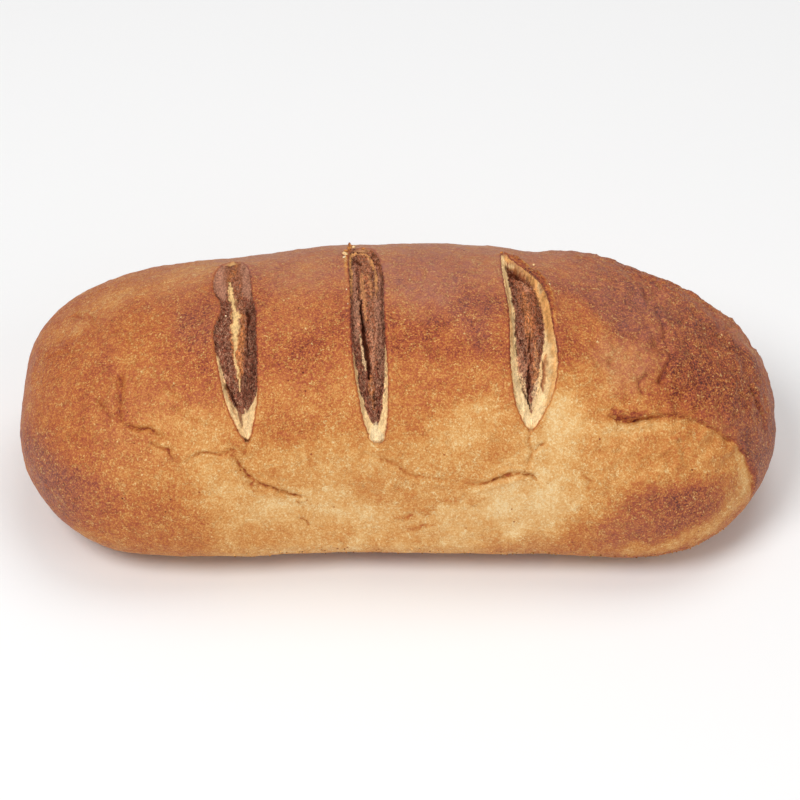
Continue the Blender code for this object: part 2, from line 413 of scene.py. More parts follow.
def crust_material():
    """Browning, and ash with painted sheen, come from the mesh, and so do the painted shade of the
    creases and pits and the distance to the lips. Noise at several sizes, in millimetres, moves the
    browning along the ramp, more where the crust is dark, and raises the surface."""
    nodes = Nodes("crust")
    place = nodes.place()
    clouds = nodes.noise(place, 5.5, 3, 0.6, 0.6)
    grain = nodes.noise(place, 1.8, 2, 0.6, 0.8)
    fine = nodes.noise(place, 0.66, 2, 0.7, 0.5)
    veins = nodes.size_of(nodes.sum(nodes.noise(place, 2.1, 1, 0.5, 1.8), -0.5))
    curl_places = nodes.spread(nodes.noise(place, 2.6, 2), 0.48, 0.58)
    curls = nodes.product(nodes.spread(veins, 0.01, 0.055, 1, 0), curl_places)
    blister_places = nodes.spread(nodes.noise(place, 4.3, 2), 0.40, 0.58)
    blisters = nodes.product(nodes.spread(nodes.cells(place, 1.25), 0.12, 0.36, 1, 0), blister_places)
    speck_places = nodes.spread(nodes.noise(place, 14.0, 1), 0.5, 0.56)
    specks = nodes.product(nodes.spread(nodes.cells(place, 5.5), 0.03, 0.075, 1, 0), speck_places)
    frayed = nodes.spread(fine, 0.3, 0.7, -0.35, 0.35)
    # Painted shade in the creases and pits, broken up by the grain
    gap = nodes.sum(nodes.size_of(nodes.attribute("crease")), frayed)
    crease = nodes.product(nodes.spread(gap, 0.1, 0.7, 1, 0, True), nodes.attribute("crease_shade"))
    crease = nodes.product(crease, nodes.spread(grain, 0.34, 0.6, 0.15, 1.0))
    # Darker browning and painted shadow along the lips of the slashes
    edge = nodes.spread(nodes.sum(nodes.attribute("lip"), frayed), 0.1, 0.7, 1, 0)

    deeper = nodes.spread(nodes.attribute("browning"), 0.1, 0.85, 0.58, 1.9)
    deeper = nodes.product(deeper, nodes.spread(nodes.attribute("browning"), 0.6, 0.8, 1.0, 1.35))
    change = nodes.spread(grain, 0.25, 0.75, -0.10, 0.10)
    change = nodes.sum(change, nodes.spread(fine, 0.28, 0.58, -0.24, 0.12))
    change = nodes.sum(change, nodes.product(curls, -0.2))
    change = nodes.sum(change, nodes.product(blisters, -0.15))
    change = nodes.sum(nodes.product(change, deeper), nodes.product(crease, 0.52))
    change = nodes.sum(change, nodes.spread(clouds, 0.25, 0.75, -0.09, 0.09))
    change = nodes.sum(change, nodes.product(specks, 0.55))
    change = nodes.sum(change, nodes.product(edge, 0.26))
    browning = nodes.sum(nodes.attribute("browning"), change)
    colour = nodes.ramp(nodes.product(browning, 1 / RAMP_TOP), CRUST_RAMP)
    # Grey-purple ash of the crust, and painted sheen where the top turns away
    ash_and_sheen = nodes.product(nodes.attribute("ash_and_sheen"), nodes.spread(clouds, 0.3, 0.7, 0.55, 1.0))
    colour = nodes.mix(ash_and_sheen, colour, (*tone(166, 124, 114), 1))
    colour = nodes.mix(nodes.attribute("crumb"), colour, (*tone(206, 158, 98), 1))

    roughness = nodes.spread(nodes.noise(place, 2.2, 3), 0.3, 0.7, 0.46, 0.66)
    height = nodes.sum(nodes.product(grain, 0.27), nodes.product(fine, 0.18))
    height = nodes.sum(height, nodes.product(blisters, 0.12))
    height = nodes.sum(height, nodes.product(curls, 0.09))
    height = nodes.product(height, deeper)
    height = nodes.sum(height, nodes.product(clouds, 0.30))
    height = nodes.sum(height, nodes.product(nodes.sum(crease, specks), -0.30))
    return nodes.finish(colour, roughness, height, 0.3)


def dough_material():
    """The colour comes from the mesh. Fine grain, drawn out along the slashes, lightens and darkens
    it, and flour lies in thin veins where the mesh says so."""
    nodes = Nodes("torn_dough")
    place = nodes.place()
    drawn = nodes.place((1, 0.5, 0.5))
    clouds = nodes.noise(drawn, 2.2, 3, 0.6, 0.5)
    grain = nodes.noise(drawn, 0.52, 2, 0.7, 0.4)
    pores = nodes.spread(nodes.cells(drawn, 0.7), 0.05, 0.3, 1, 0)
    veins = nodes.size_of(nodes.sum(nodes.noise(drawn, 0.62, 1, 0.5, 1.2), -0.5))
    flour_places = nodes.spread(nodes.noise(place, 1.6, 2), 0.42, 0.54)
    floury = nodes.attribute("floury")
    flour = nodes.product(nodes.product(nodes.spread(veins, 0.0, 0.08, 1, 0), flour_places), floury)
    strength = nodes.spread(floury, 0.05, 0.5, 0.24, 1.1)
    light = nodes.product(nodes.spread(grain, 0.38, 0.68, -0.55, 1.25), strength)
    light = nodes.sum(light, nodes.spread(clouds, 0.3, 0.7, 0.84, 1.18))
    light = nodes.sum(light, nodes.product(nodes.product(pores, -0.12), strength))
    light = nodes.spread(light, 0.18, 2.4, 0.18, 2.4)
    shades = nodes.add("CombineColor", {0: light, 1: light, 2: light}).outputs[0]
    colour = nodes.mix(1.0, nodes.attribute("dough", "Color"), shades, "MULTIPLY")
    colour = nodes.mix(flour, colour, (*tone(214, 160, 128), 1))
    roughness = nodes.spread(clouds, 0.3, 0.7, 0.55, 0.8)
    height = nodes.sum(nodes.product(clouds, 0.34), nodes.product(grain, 0.24))
    height = nodes.sum(height, nodes.product(pores, -0.06))
    height = nodes.sum(height, nodes.product(flour, 0.14))
    return nodes.finish(colour, roughness, height, 0.06)


# How the crust is browned

# Browning from the crest down to the underside, in front, and at the back: girth, browning
BROWNING = (
    (-188, 0.55), (-140, 0.48), (-126, 0.27), (-116, 0.18), (-106, 0.17), (-95, 0.17), (-84, 0.25),
    (-74, 0.28), (-65, 0.36), (-57, 0.44), (-50, 0.45), (-42, 0.50), (-34, 0.64), (-22, 0.68),
    (-8, 0.67), (6, 0.60), (24, 0.48), (46, 0.50), (64, 0.50), (80, 0.32), (96, 0.18), (110, 0.20),
    (122, 0.32), (140, 0.50), (188, 0.55),
)

# A grey-purple bloom towards the crest, partly ash on the crust and partly painted sheen where the top
# turns away: girth, ash and sheen
BLOOM = ((-30, 0.0), (-6, 0.10), (8, 0.3), (24, 0.46), (45, 0.56), (70, 0.24), (90, 0.0))

# Patches, each laid over those before it:
# girth, run, half size round, half size along, browning, ash and sheen, how much it covers
PATCHES = {
    "left_end": (-30, -160, 150, 80, 0.56, 0.06, 0.95),
    "left_tip": (-20, -166, 60, 14, 0.60, 0.38, 0.8),
    "left_end_middle": (-14, -138, 22, 18, 0.63, 0.0, 0.8),
    "left_shoulder": (20, -118, 18, 22, 0.36, 0.16, 0.7),
    "left_crest": (26, -80, 14, 12, 0.36, 0.26, 0.7),
    "left_flank": (-20, -98, 24, 12, 0.51, 0.0, 0.7),
    "left_upright_shade": (-46, -117, 14, 10, 0.66, 0.0, 0.7),
    "left_light_skin": (-45, -85, 4, 4, 0.3, 0.0, 0.7),
    "left_light_skin_low": (-54, -78, 4, 5, 0.26, 0.0, 0.6),
    "left_tip_low": (-72, -157, 12, 10, 0.68, 0.26, 0.8),
    "left_foot_shade": (-98, -135, 21, 20, 0.80, 0.34, 0.85),
    "left_foot_shade_in": (-104, -112, 14, 18, 0.72, 0.18, 0.8),
    "left_foot_light": (-117, -114, 4, 10, 0.36, 0.04, 0.8),
    "left_belly": (-72, -122, 16, 14, 0.58, 0.0, 0.7),
    "left_gold": (-62, -78, 9, 14, 0.30, 0.0, 0.8),
    "left_gold_low": (-76, -62, 12, 14, 0.24, 0.0, 0.8),
    "left_foot_orange": (-108, -88, 15, 26, 0.55, 0.02, 0.85),
    "left_slash_red": (-17, -77, 14, 8, 0.76, 0.14, 0.9),
    "left_slash_red_low": (-36, -80, 9, 9, 0.69, 0.0, 0.6),
    "between_left_red": (-34, -34, 12, 13, 0.68, 0.0, 0.6),
    "between_left_orange": (-14, -36, 10, 13, 0.5, 0.06, 0.7),
    "between_left_top": (14, -36, 20, 15, 0.55, 0.40, 0.7),
    "between_left_low": (-60, -36, 8, 14, 0.50, 0.0, 0.75),
    "foot_cream_left": (-98, -28, 12, 26, 0.14, 0.0, 0.7),
    "foot_tan_left": (-109, -52, 9, 12, 0.36, 0.0, 0.75),
    "foot_tan_waist": (-108, -22, 8, 20, 0.22, 0.0, 0.7),
    "foot_cream_right": (-88, 44, 12, 20, 0.06, 0.03, 0.85),
    "waist_tan": (-86, 8, 10, 20, 0.33, 0.0, 0.7),
    "foot_tan_right": (-114, 54, 9, 24, 0.46, 0.1, 0.9),
    "foot_brown_right": (-107, 66, 12, 12, 0.5, 0.04, 0.85),
    "foot_cream_waist": (-112, 22, 8, 11, 0.1, 0.0, 0.85),
    "foot_streak_left": (-98, 2, 1.6, 4.5, 0.46, 0.0, 0.85),
    "foot_streak_middle": (-103.4, 8, 1.4, 6, 0.46, 0.0, 0.85),
    "foot_streak_right": (-94.4, 12, 1.3, 6, 0.38, 0.0, 0.7),
    "waist_smudge_top": (-64.2, 12.4, 2, 4.5, 0.46, 0.0, 0.7),
    "waist_smudge_slope": (-71, 27, 3, 8, 0.4, 0.0, 0.6),
    "middle_tip_cream": (-64, -7.6, 4.2, 3.2, -0.02, 0.0, 0.95),
    "crest_purple": (6, 9, 22, 22, 0.60, 0.50, 0.85),
    "right_slash_shade": (-16, 29, 13, 9, 0.77, 0.2, 0.85),
    "between_right_low": (-62, 22, 10, 18, 0.2, 0.0, 0.8),
    "between_right_orange": (-46, 22, 6, 14, 0.53, 0.0, 0.7),
    "middle_tip_tan": (-56, 8, 7, 10, 0.50, 0.0, 0.8),
    "belt_light": (-74, 56, 12, 16, 0.14, 0.0, 0.85),
    "right_top": (14, 104, 40, 48, 0.71, 0.30, 0.95),
    "right_dark": (-22, 136, 38, 34, 0.80, 0.08, 0.95),
    "right_orange": (-17, 66, 10, 9, 0.5, 0.02, 0.85),
    "right_pink": (-34, 82, 13, 15, 0.42, 0.26, 0.9),
    "right_cheek": (-43, 66, 8, 9, 0.36, 0.0, 0.85),
    "right_cream": (-58, 64, 8, 12, 0.06, 0.0, 0.95),
    "right_band": (-47, 120, 11, 30, 0.72, 0.0, 0.95),
    # Paler and greyer along the right end's top edge, partly paler crust and partly painted sheen
    "right_top_edge": (28, 148, 18, 22, 0.46, 0.7, 0.9),
    "right_tip": (-10, 164, 70, 14, 0.72, 0.36, 0.85),
    "right_dark_low": (-40, 114, 9, 12, 0.84, 0.06, 0.8),
    "right_side_orange": (-67, 137, 15, 3.2, 0.5, 0.0, 0.85),
    "right_foot_end": (-90, 146, 44, 34, 0.78, 0.22, 0.97),
    "back_left": (60, -120, 40, 40, 0.56, 0.06, 0.7),
    "back_right": (60, 110, 40, 46, 0.72, 0.08, 0.8),
    "back_right_end": (92, 146, 36, 26, 0.66, 0.18, 0.9),
    "back_left_end": (92, -150, 34, 26, 0.6, 0.14, 0.85),
    "back_left_foot": (100, -96, 14, 26, 0.50, 0.08, 0.7),
    "back_right_foot": (104, 84, 14, 24, 0.56, 0.06, 0.7),
}

# The right end's dark top steps over the pale lobe under it along this line: girth, run
FOLD = (
    (-46, 71), (-52, 75), (-57, 80), (-58.5, 85), (-57, 90), (-56, 98), (-57, 106), (-60, 112.5),
    (-65, 119.5), (-72, 126), (-81, 131), (-98, 134), (-120, 134),
)
LOBE_PATCHES = {
    "lobe": (-84, 100, 70, 70, 0.35, 0.0, 1.0),
    # Painted highlight: a pale line along the lobe just under the fold
    "lobe_highlight": (-62.5, 83, 3.5, 18, 0.16, 0.0, 0.85),
    "lobe_orange": (-68, 112, 7, 11, 0.38, 0.0, 0.6),
    "lobe_brown": (-96, 101, 11, 23, 0.75, 0.12, 0.97),
    "lobe_brown_left": (-103, 80, 7, 17, 0.66, 0.16, 0.92),
    "lobe_brown_tail": (-112, 70, 5, 14, 0.5, 0.06, 0.8),
    "lobe_brown_foot": (-120, 96, 6, 34, 0.66, 0.06, 0.85),
    "lobe_streak": (-112, 106, 3.6, 24, 0.32, 0.0, 0.85),
    # Painted highlight along the lobe's rim inside the fold
    "lobe_rim_highlight": (-82, 128.5, 24, 2.6, 0.18, 0.0, 0.75),
}

# Creases: depth, half width, how much higher the left side is, painted shade along the line, (girth,
# run) points
CREASES = {
    "right_fold": (0.5, 1.1, 2.2, 0.4, FOLD),
    # Painted shadow where the dark top steps over the lobe
    "right_fold_shadow": (
        1.0, 1.2, 0.4, 1.0,
        ((-54.5, 75), (-57.8, 79), (-58.8, 84), (-57.4, 89), (-56.5, 97)),
    ),
    "left_upright": (1.5, 1.3, -1.3, 0.7, ((-36, -104), (-48, -103), (-56, -103), (-63, -102))),
    "left_ledge": (1.0, 1.0, 1.1, 0.8, ((-61, -101), (-63, -96), (-62, -91), (-65, -87), (-68, -85))),
    "left_low_ledge": (0.8, 0.9, 0.8, 0.8, ((-68, -92), (-70, -88), (-71, -84), (-76, -83))),
    "peak": (
        0.6, 0.8, 0.2, 0.7,
        ((-77, -80), (-72.5, -75), (-71, -70), (-71.5, -66), (-69.5, -61.5), (-70.5, -57)),
    ),
    "waist_left": (
        1.0, 1.0, -0.5, 1.0,
        ((-68.5, -64), (-72, -60), (-76, -58), (-80, -55), (-84, -51), (-86, -45), (-89, -38),
         (-90.5, -32)),
    ),
    "waist_branch": (0.7, 0.9, 0.0, 1.0, ((-82, -55), (-85, -54.5), (-88, -53))),
    "nick_a": (0.5, 0.8, 0.2, 0.7, ((-90, -38), (-93, -37), (-97, -35))),
    "nick_b": (0.4, 0.8, 0.0, 0.8, ((-99, -38), (-101, -35), (-104, -34))),
    "fold_upper": (
        0.6, 0.7, -0.5, 0.5,
        ((-52.5, 75), (-54.4, 79), (-55, 84), (-54, 89.5), (-52.5, 92)),
    ),
    "under_left_tip": (0.6, 0.8, 0.0, 0.6, ((-66.5, -55.4), (-68.5, -55.6), (-71, -57))),
    "middle_belt": (
        0.7, 1.0, -0.6, 0.5,
        ((-75, -17), (-71, -13), (-71.5, -9), (-75, -2), (-80, 4.5), (-80.5, 12), (-82.5, 20)),
    ),
    "right_belt": (
        1.1, 1.0, -0.4, 1.0,
        ((-82, 23), (-83, 28), (-81.5, 33), (-79.5, 39), (-78.5, 44), (-79.5, 48), (-84, 52)),
    ),
    "under_right_tip": (0.6, 0.9, 0.0, 0.6, ((-62.5, 47.5), (-66, 46.5), (-69, 48), (-76, 46.5))),
    "under_right_side": (0.5, 0.8, 0.0, 0.6, ((-66, 53), (-68, 50.5), (-70, 48))),
    "right_side_nick": (0.5, 0.8, 0.2, 0.6, ((-79, 66), (-82, 69.5), (-87, 68))),
    "right_dent": (1.3, 1.3, 0.7, 0.6, ((-21, 103), (-27, 101.5), (-33, 99.5), (-37, 98), (-42, 96))),
    "right_dent_beside": (0.8, 1.1, 0.5, 0.6, ((-37, 92), (-40, 88.5), (-43, 88), (-48, 89))),
    "right_dimple": (0.8, 1.0, 0.0, 0.4, ((-32, 77), (-35, 80), (-36, 82))),
    "shoulder": (1.3, 1.5, 0.6, 0.6, ((27, 86), (26, 96), (23, 100), (19, 107))),
    "shoulder_far": (0.6, 2.2, 0.6, 0.0, ((13, 112), (8, 122), (0, 132), (-10, 140))),
    "left_wrinkle_a": (0.4, 0.8, 0.7, 0.0, ((-41, -88), (-45, -85), (-50, -81), (-52, -76))),
    "left_wrinkle_b": (0.4, 0.8, 0.7, 0.0, ((-53, -84), (-57, -78), (-60, -72), (-61, -67))),
    "crest_crease": (0.5, 1.2, 0.2, 0.3, ((24, -128), (14, -122), (4, -119))),
    "left_high": (0.6, 1.2, 0.5, 0.3, ((12, -119), (1, -115), (-7, -113))),
    "left_high_beside": (0.5, 1.2, 0.5, 0.3, ((-9, -108), (-17, -103), (-22, -100))),
    "left_cheek": (0.7, 1.3, 0.6, 0.3, ((-48, -113), (-56, -108), (-60, -105))),
    "left_end_low": (0.4, 1.4, 0.3, 0.1, ((-71, -122), (-67, -117), (-67, -112))),
    "left_end_high": (0.4, 1.4, 0.3, 0.0, ((-12, -139), (-13, -131), (-17, -123))),
    "right_side": (0.9, 1.4, 0.6, 0.4, ((-26, 139), (-41, 143), (-54, 148), (-72, 148))),
    "right_far": (0.8, 1.5, 0.5, 0.35, ((3, 116), (9, 124), (21, 130), (45, 136))),
    "right_hook": (0.5, 1.2, 0.3, 0.2, ((-2, 120), (-9, 121), (-16, 118))),
    "right_top": (0.9, 1.3, 0.5, 0.5, ((12, 91), (7, 94), (-1, 97), (-12, 100), (-20, 101))),
    "right_high": (0.6, 1.2, 0.4, 0.35, ((19, 82), (16, 86), (16, 92), (7, 94))),
    "right_ridge": (
        0.8, 1.2, -0.5, 0.45,
        ((-5, 100), (-4, 104), (0, 110), (-1, 119), (2, 126), (-3, 131), (-13, 135)),
    ),
    "right_short": (0.6, 1.1, 0.4, 0.45, ((-21, 104), (-26, 104), (-30, 101))),
    "right_low_curl": (0.5, 1.1, 0.3, 0.45, ((-24, 83), (-26, 85), (-33, 82), (-35, 81))),
    "back_crease": (1.2, 1.6, 0.5, 0.6, ((84, -30), (88, -8), (85, 18), (88, 40))),
    "back_crease_side": (0.9, 1.4, 0.4, 0.5, ((70, 66), (78, 80), (76, 100))),
}

# Small pits: girth, run, radius, depth
PITS = (
    (-62, -42, 1.3, 0.7), (-62.5, -36, 1.5, 0.5), (-85, -1, 1.2, 0.6), (-98, 3.5, 1.6, 0.5),
    (-103, 9, 1.4, 0.5), (-93, 28, 0.9, 0.7), (-103, 24, 0.7, 0.5), (-105, 37, 0.7, 0.5),
    (-95, 66, 1.3, 0.8), (-97, 69, 1.0, 0.6), (-72, 83, 0.6, 0.5), (-49, -92, 1.0, 0.4),
    (-100, -118, 1.0, 0.8), (-104, -131, 1.2, 0.6), (-34, 118, 1.4, 0.6), (-12, 92, 1.6, 0.5),
    (92, -52, 1.3, 0.7), (86, 28, 1.2, 0.6), (98, 60, 1.4, 0.6), (74, -86, 1.2, 0.5),
)


# Edges of patches wander by this much over these wavelengths, in millimetres
WANDER = 4.5
WANDER_SIZE = 21
FINE_WANDER = 1.2
FINE_WANDER_SIZE = 5
CLOUDS = 0.055
CLOUD_SIZE = 11

# Where the lobe's own patches hold: softness of the fold's edge, distance from the fold, lowest
# girth, and the run where they start, with how far they take to come in
FOLD_SOFT = 1.6
LOBE_REACH = 70
LOBE_LOWEST = -128
LOBE_START = 61
LOBE_START_FADE = 18

# A strip along the upper side of the fold, partly darker crust and partly painted shade on the
# overhang's edge
STRIP_RUNS = (76, 92)
STRIP_WIDTH = 2.8
STRIP_BROWNING_AND_SHADE = 0.7
STRIP_COVER = 0.8

# Creases: all depths and widths by this much, the share of a crease that fades out at each end, and
# the low ridge on both sides: height, distance and width as shares of the crease's own
CREASE_DEPTH = 1.4
CREASE_WIDTH = 0.85
CREASE_FADE = 0.15
RIDGE_HEIGHT = 0.35
RIDGE_AWAY = 2.4
RIDGE_WIDTH = 1.3

# In millimetres: how far a crease's step and its painted shade reach, and how much its line wobbles
STEP_REACH = 7
SHADE_REACH = 2.4
CREASE_WOBBLE = 0.6

# How much painted shade darkens a pit, and inside which share of its radius
PIT_SHADE = 0.5
PIT_INSIDE = 0.9


def lay_patches(girth, run, browning, ash_and_sheen, patches, within=1.0):
    """Lays patches over a browning and an ash with sheen."""
    for at_girth, at_run, half_round, half_along, brown, grey, cover in patches.values():
        away = np.hypot((girth - at_girth) / half_round, (run - at_run) / half_along)
        weight = within * cover * eased(1.5 - away)
        browning = browning + weight * (brown - browning)
        ash_and_sheen = ash_and_sheen + weight * (grey - ash_and_sheen)
    return browning, ash_and_sheen


def wandering(distance, points, seed):
    """A girth or a run moved unevenly."""
    moved = distance + WANDER * layered_noise(points, WANDER_SIZE, seed)
    return moved + FINE_WANDER * noise(points, FINE_WANDER_SIZE, seed + 6)


def crust_colour(girth, run, points):
    """Browning, and ash with painted sheen, of the crust, with uneven edges between its patches."""
    uneven_girth = wandering(girth, points, 61)
    uneven_run = wandering(run, points, 71)
    browning = np.interp(uneven_girth, *zip(*BROWNING))
    ash_and_sheen = np.interp(uneven_girth, *zip(*BLOOM))
    browning, ash_and_sheen = lay_patches(uneven_girth, uneven_run, browning, ash_and_sheen, PATCHES)
    gap, _ = line_distance(girth + 0.8 * layered_noise(points, 5, 67), run, FOLD)
    within = eased(0.5 - gap / FOLD_SOFT) * (np.abs(gap) < LOBE_REACH) * (girth > LOBE_LOWEST)
    within = within * eased((run - LOBE_START) / LOBE_START_FADE)
    browning, ash_and_sheen = lay_patches(uneven_girth, uneven_run, browning, ash_and_sheen, LOBE_PATCHES, within)
    browning += CLOUDS * layered_noise(points, CLOUD_SIZE, 81, 3, 0.7)
    # Darker crust and painted shade along the upper side of the fold
    strip = eased((gap + 0.2) / 0.5) * eased((STRIP_WIDTH - gap) / 0.9)
    strip *= eased((run - STRIP_RUNS[0]) / 2.5) * eased((STRIP_RUNS[1] - run) / 5) * (girth < -40)
    browning += STRIP_COVER * strip * (STRIP_BROWNING_AND_SHADE - browning)
    return browning, ash_and_sheen


def crease_relief(girth, run, points):
    """Height of the creases and pits, signed distance to the nearest crease, and the painted shade
    that darkens creases and pits.
    """
    girth = girth + CREASE_WOBBLE * layered_noise(points, 4, 91, 3, 0.6)
    run = run + CREASE_WOBBLE * layered_noise(points, 4, 95, 3, 0.6)
    broken = 0.85 + 0.5 * noise(points, 4, 99)
    height, nearest, dark = 0 * run, 0 * run + 3, 0 * run
    for depth, half_width, step, painted_shade, line in CREASES.values():
        gap, place = line_distance(girth, run, line)
        taper = eased(np.minimum(place, 1 - place) / CREASE_FADE) * np.clip(broken, 0.3, 1)
        depth, half_width = CREASE_DEPTH * depth, CREASE_WIDTH * half_width
        size = np.abs(gap)
        height -= depth * taper * np.exp(-((size / half_width) ** 2))
        beside = (size - RIDGE_AWAY * half_width) / (RIDGE_WIDTH * half_width)
        height += RIDGE_HEIGHT * depth * taper * np.exp(-(beside**2))
        near_step = np.exp(-((size / STEP_REACH) ** 2)) * eased(size / 1.2)
        height += step * taper * np.where(gap > 0, 0.5, -0.2) * near_step
        near = size < np.abs(nearest)
        nearest = np.where(near, gap, nearest)
        # Painted shade along the crease line
        dark = np.where(near, painted_shade * taper * eased(SHADE_REACH - size), dark)
    for at_girth, at_run, radius, depth in PITS:
        away = np.hypot(girth - at_girth, run - at_run) / radius
        height -= depth * np.exp(-(away**2))
        height += 0.25 * depth * np.exp(-(((away - 1.9) / 0.8) ** 2))
        inside = away < PIT_INSIDE
        nearest = np.where(inside, 0, nearest)
        dark = np.where(inside, np.maximum(dark, PIT_SHADE * eased(1 - away)), dark)
    return height, nearest, dark


# The crust

# Steps between rows of points, in millimetres: at the back, and from each girth on
BACK_STEP = 2.6
ROW_STEPS = ((-118, 0.95), (-92, 0.62), (-60, 0.95), (50, BACK_STEP))

# Columns round each end, between the slashes, and across each slash from lip to lip
ROUND_END = 120
BETWEEN = (38, 50)
ACROSS = (-1.0, -0.93, -0.7, -0.45, -0.2, 0.0, 0.2, 0.45, 0.7, 0.93, 1.0)

# Depth of the open slashes under the torn dough, the share of their half width that their walls
# take, and the distance outside the lips that is given far from them
TRENCH = 7.6
TRENCH_WALL = 0.07
FAR_OUTSIDE = 9.0


def crust_rows():
    """Girths of all rows."""
    starts = [(GIRTHS[0], BACK_STEP), *ROW_STEPS]
    ends = [start for start, _ in ROW_STEPS] + [GIRTHS[-1]]
    parts = []
    for (start, step), end in zip(starts, ends):
        parts.append(np.linspace(start, end, round((end - start) / step), endpoint=False))
    return np.concatenate(parts)


def crust_columns(girths):
    """The run of every column on each row: they follow the lips of each slash."""
    edges = []
    for name in SLASHES:
        middle, half_width, past_end = lips(name, girths)
        splay = np.minimum(LEAST_HALF_WIDTH + SPLAY * past_end, MOST_HALF_WIDTH)
        half_width = np.maximum(half_width, splay)
        edges.append((middle - half_width, middle + half_width))
    ease = np.linspace(0, 1, ROUND_END + 1)[1:-1]
    runs = [RUNS[0] + (edges[0][0][:, None] - RUNS[0]) * ease]
    for i, (left, right) in enumerate(edges):
        centre, half = (left + right)[:, None] / 2, (right - left)[:, None] / 2
        runs.append(centre + half * np.array(ACROSS))
        if i + 1 < len(edges):
            inner = np.linspace(0, 1, BETWEEN[i] + 1)[1:-1]
            runs.append(right[:, None] + (edges[i + 1][0] - right)[:, None] * inner)
    last = edges[-1][1][:, None]
    runs.append(last + (RUNS[-1] - last) * ease)
    return np.concatenate(runs, axis=1)


def trench_depth(run, girth):
    """Depth of the open slashes under the torn dough, how far inside the lips, 0 to 1, and the
    distance outside the lips."""
    depth, inside, outside = np.zeros_like(run), np.zeros_like(run), np.full_like(run, FAR_OUTSIDE)
    for name, outline in SLASHES.items():
        middle, half_width, past_end = lips(name, girth)
        across = np.abs(run - middle) / np.maximum(half_width, LEAST_HALF_WIDTH)
        wall = eased((1 - across) / TRENCH_WALL)
        low, high = outline[0][0], outline[-1][0] + CLOSE_IN
        fade = np.sqrt(np.clip(np.minimum(girth - low, high - girth) / END_FADE, 0, 1))
        depth += wall * fade * TRENCH
        inside = np.maximum(inside, wall * (fade > 0))
        outside = np.minimum(outside, np.maximum(np.abs(run - middle) - half_width, 0) + past_end)
    return depth, inside, outside


# Turned-up crust: how much it covers, the width from which it gets no higher, the width of its
# paler outer edge, its rise, the further rise of its edge and of its roughness, and how much
# paler the edge is
RIM_COVER = 0.85
RIM_THICKEST = 3
RIM_EDGE = 1.8
RIM_RISE = 0.12
RIM_EDGE_RISE = 0.2
RIM_ROUGHNESS = 0.16
RIM_EDGE_PALER = 0.40

# Rough turned-up crust beside a slash: slash, side, browning, (girth, width) points
RIMS = {
    "right_far": (
        "right", 1, 0.74,
        ((-27, 0), (-20, 1.6), (-6, 2.6), (4, 3.4), (10, 4.4), (15, 5.4), (20, 5.0), (25, 3.5),
         (28, 0)),
    ),
    "middle_near": ("middle", -1, 0.62, ((-18, 0), (-10, 1.1), (6, 1.5), (20, 1.7), (25, 0))),
    "left_near": ("left", -1, 0.6, ((-66, 0), (-50, 0.5), (-30, 0.7), (10, 0.8), (24, 0))),
}


def rims(run, girth, points):
    """How much of each place is turned-up crust, 0 to 1, how high it stands, and its browning."""
    share, height, browning = np.zeros_like(run), np.zeros_like(run), np.zeros_like(run)
    for name, side, brown, widths in RIMS.values():
        middle, half_width, past_end = lips(name, girth)
        beyond = side * (run - middle) - half_width
        width = np.interp(girth, *zip(*widths)) * (1 + 0.2 * noise(points, 3, 43))
        band = eased(beyond / 0.4 + 0.6) * eased((width - beyond) / 0.9) * (width > 0.1)
        band = band * (beyond > -1) * (past_end < 4)
        rough = layered_noise(points, 2.6, 41, 2, 0.6)
        edge = eased(RIM_EDGE - (width - beyond))
        share = np.maximum(share, band)
        rise = RIM_RISE + RIM_EDGE_RISE * edge + RIM_ROUGHNESS * rough
        height += band * np.minimum(width, RIM_THICKEST) * rise
        browning = np.where(band > 0, brown + 0.12 * rough - RIM_EDGE_PALER * edge, browning)
    return share, height, browning


# The rougher right end: x and height from which it comes in, and how far it takes
ROUGH_FROM = (40, 26)
ROUGH_OVER = (60, 26)

# Relief of the crust in millimetres: height, size. The rough end has more of each.
LUMPS = (0.45, 26)
ROUGH_LUMPS = (0.9, 15)
DIMPLES = (0.22, 7)
ROUGH_DIMPLES = 0.12
WRINKLES = (0.55, 8)
BLISTERS = (0.32, 2.6)
LEAST_BLISTER = 0.25


def crust_detail(points):
    """Lumps, dimples and blisters of the crust, in millimetres, at points in millimetres."""
    along, up = points[..., 0] - ROUGH_FROM[0], points[..., 2] - ROUGH_FROM[1]
    rough = eased(along / ROUGH_OVER[0]) * eased(up / ROUGH_OVER[1])
    lumps = LUMPS[0] * layered_noise(points, LUMPS[1], 11, 2)
    lumps = lumps + ROUGH_LUMPS[0] * rough * layered_noise(points, ROUGH_LUMPS[1], 15, 2)
    dimples = DIMPLES[0] + ROUGH_DIMPLES * rough
    dimples = dimples * layered_noise(points, DIMPLES[1], 21, 3, 0.55)
    folds = np.abs(layered_noise(points, WRINKLES[1], 25, 3, 0.6))
    wrinkles = WRINKLES[0] * rough * (1 - 3 * folds)
    blisters = BLISTERS[0] * np.maximum(noise(points, BLISTERS[1], 31) - LEAST_BLISTER, 0)
    return lumps + dimples + wrinkles + blisters


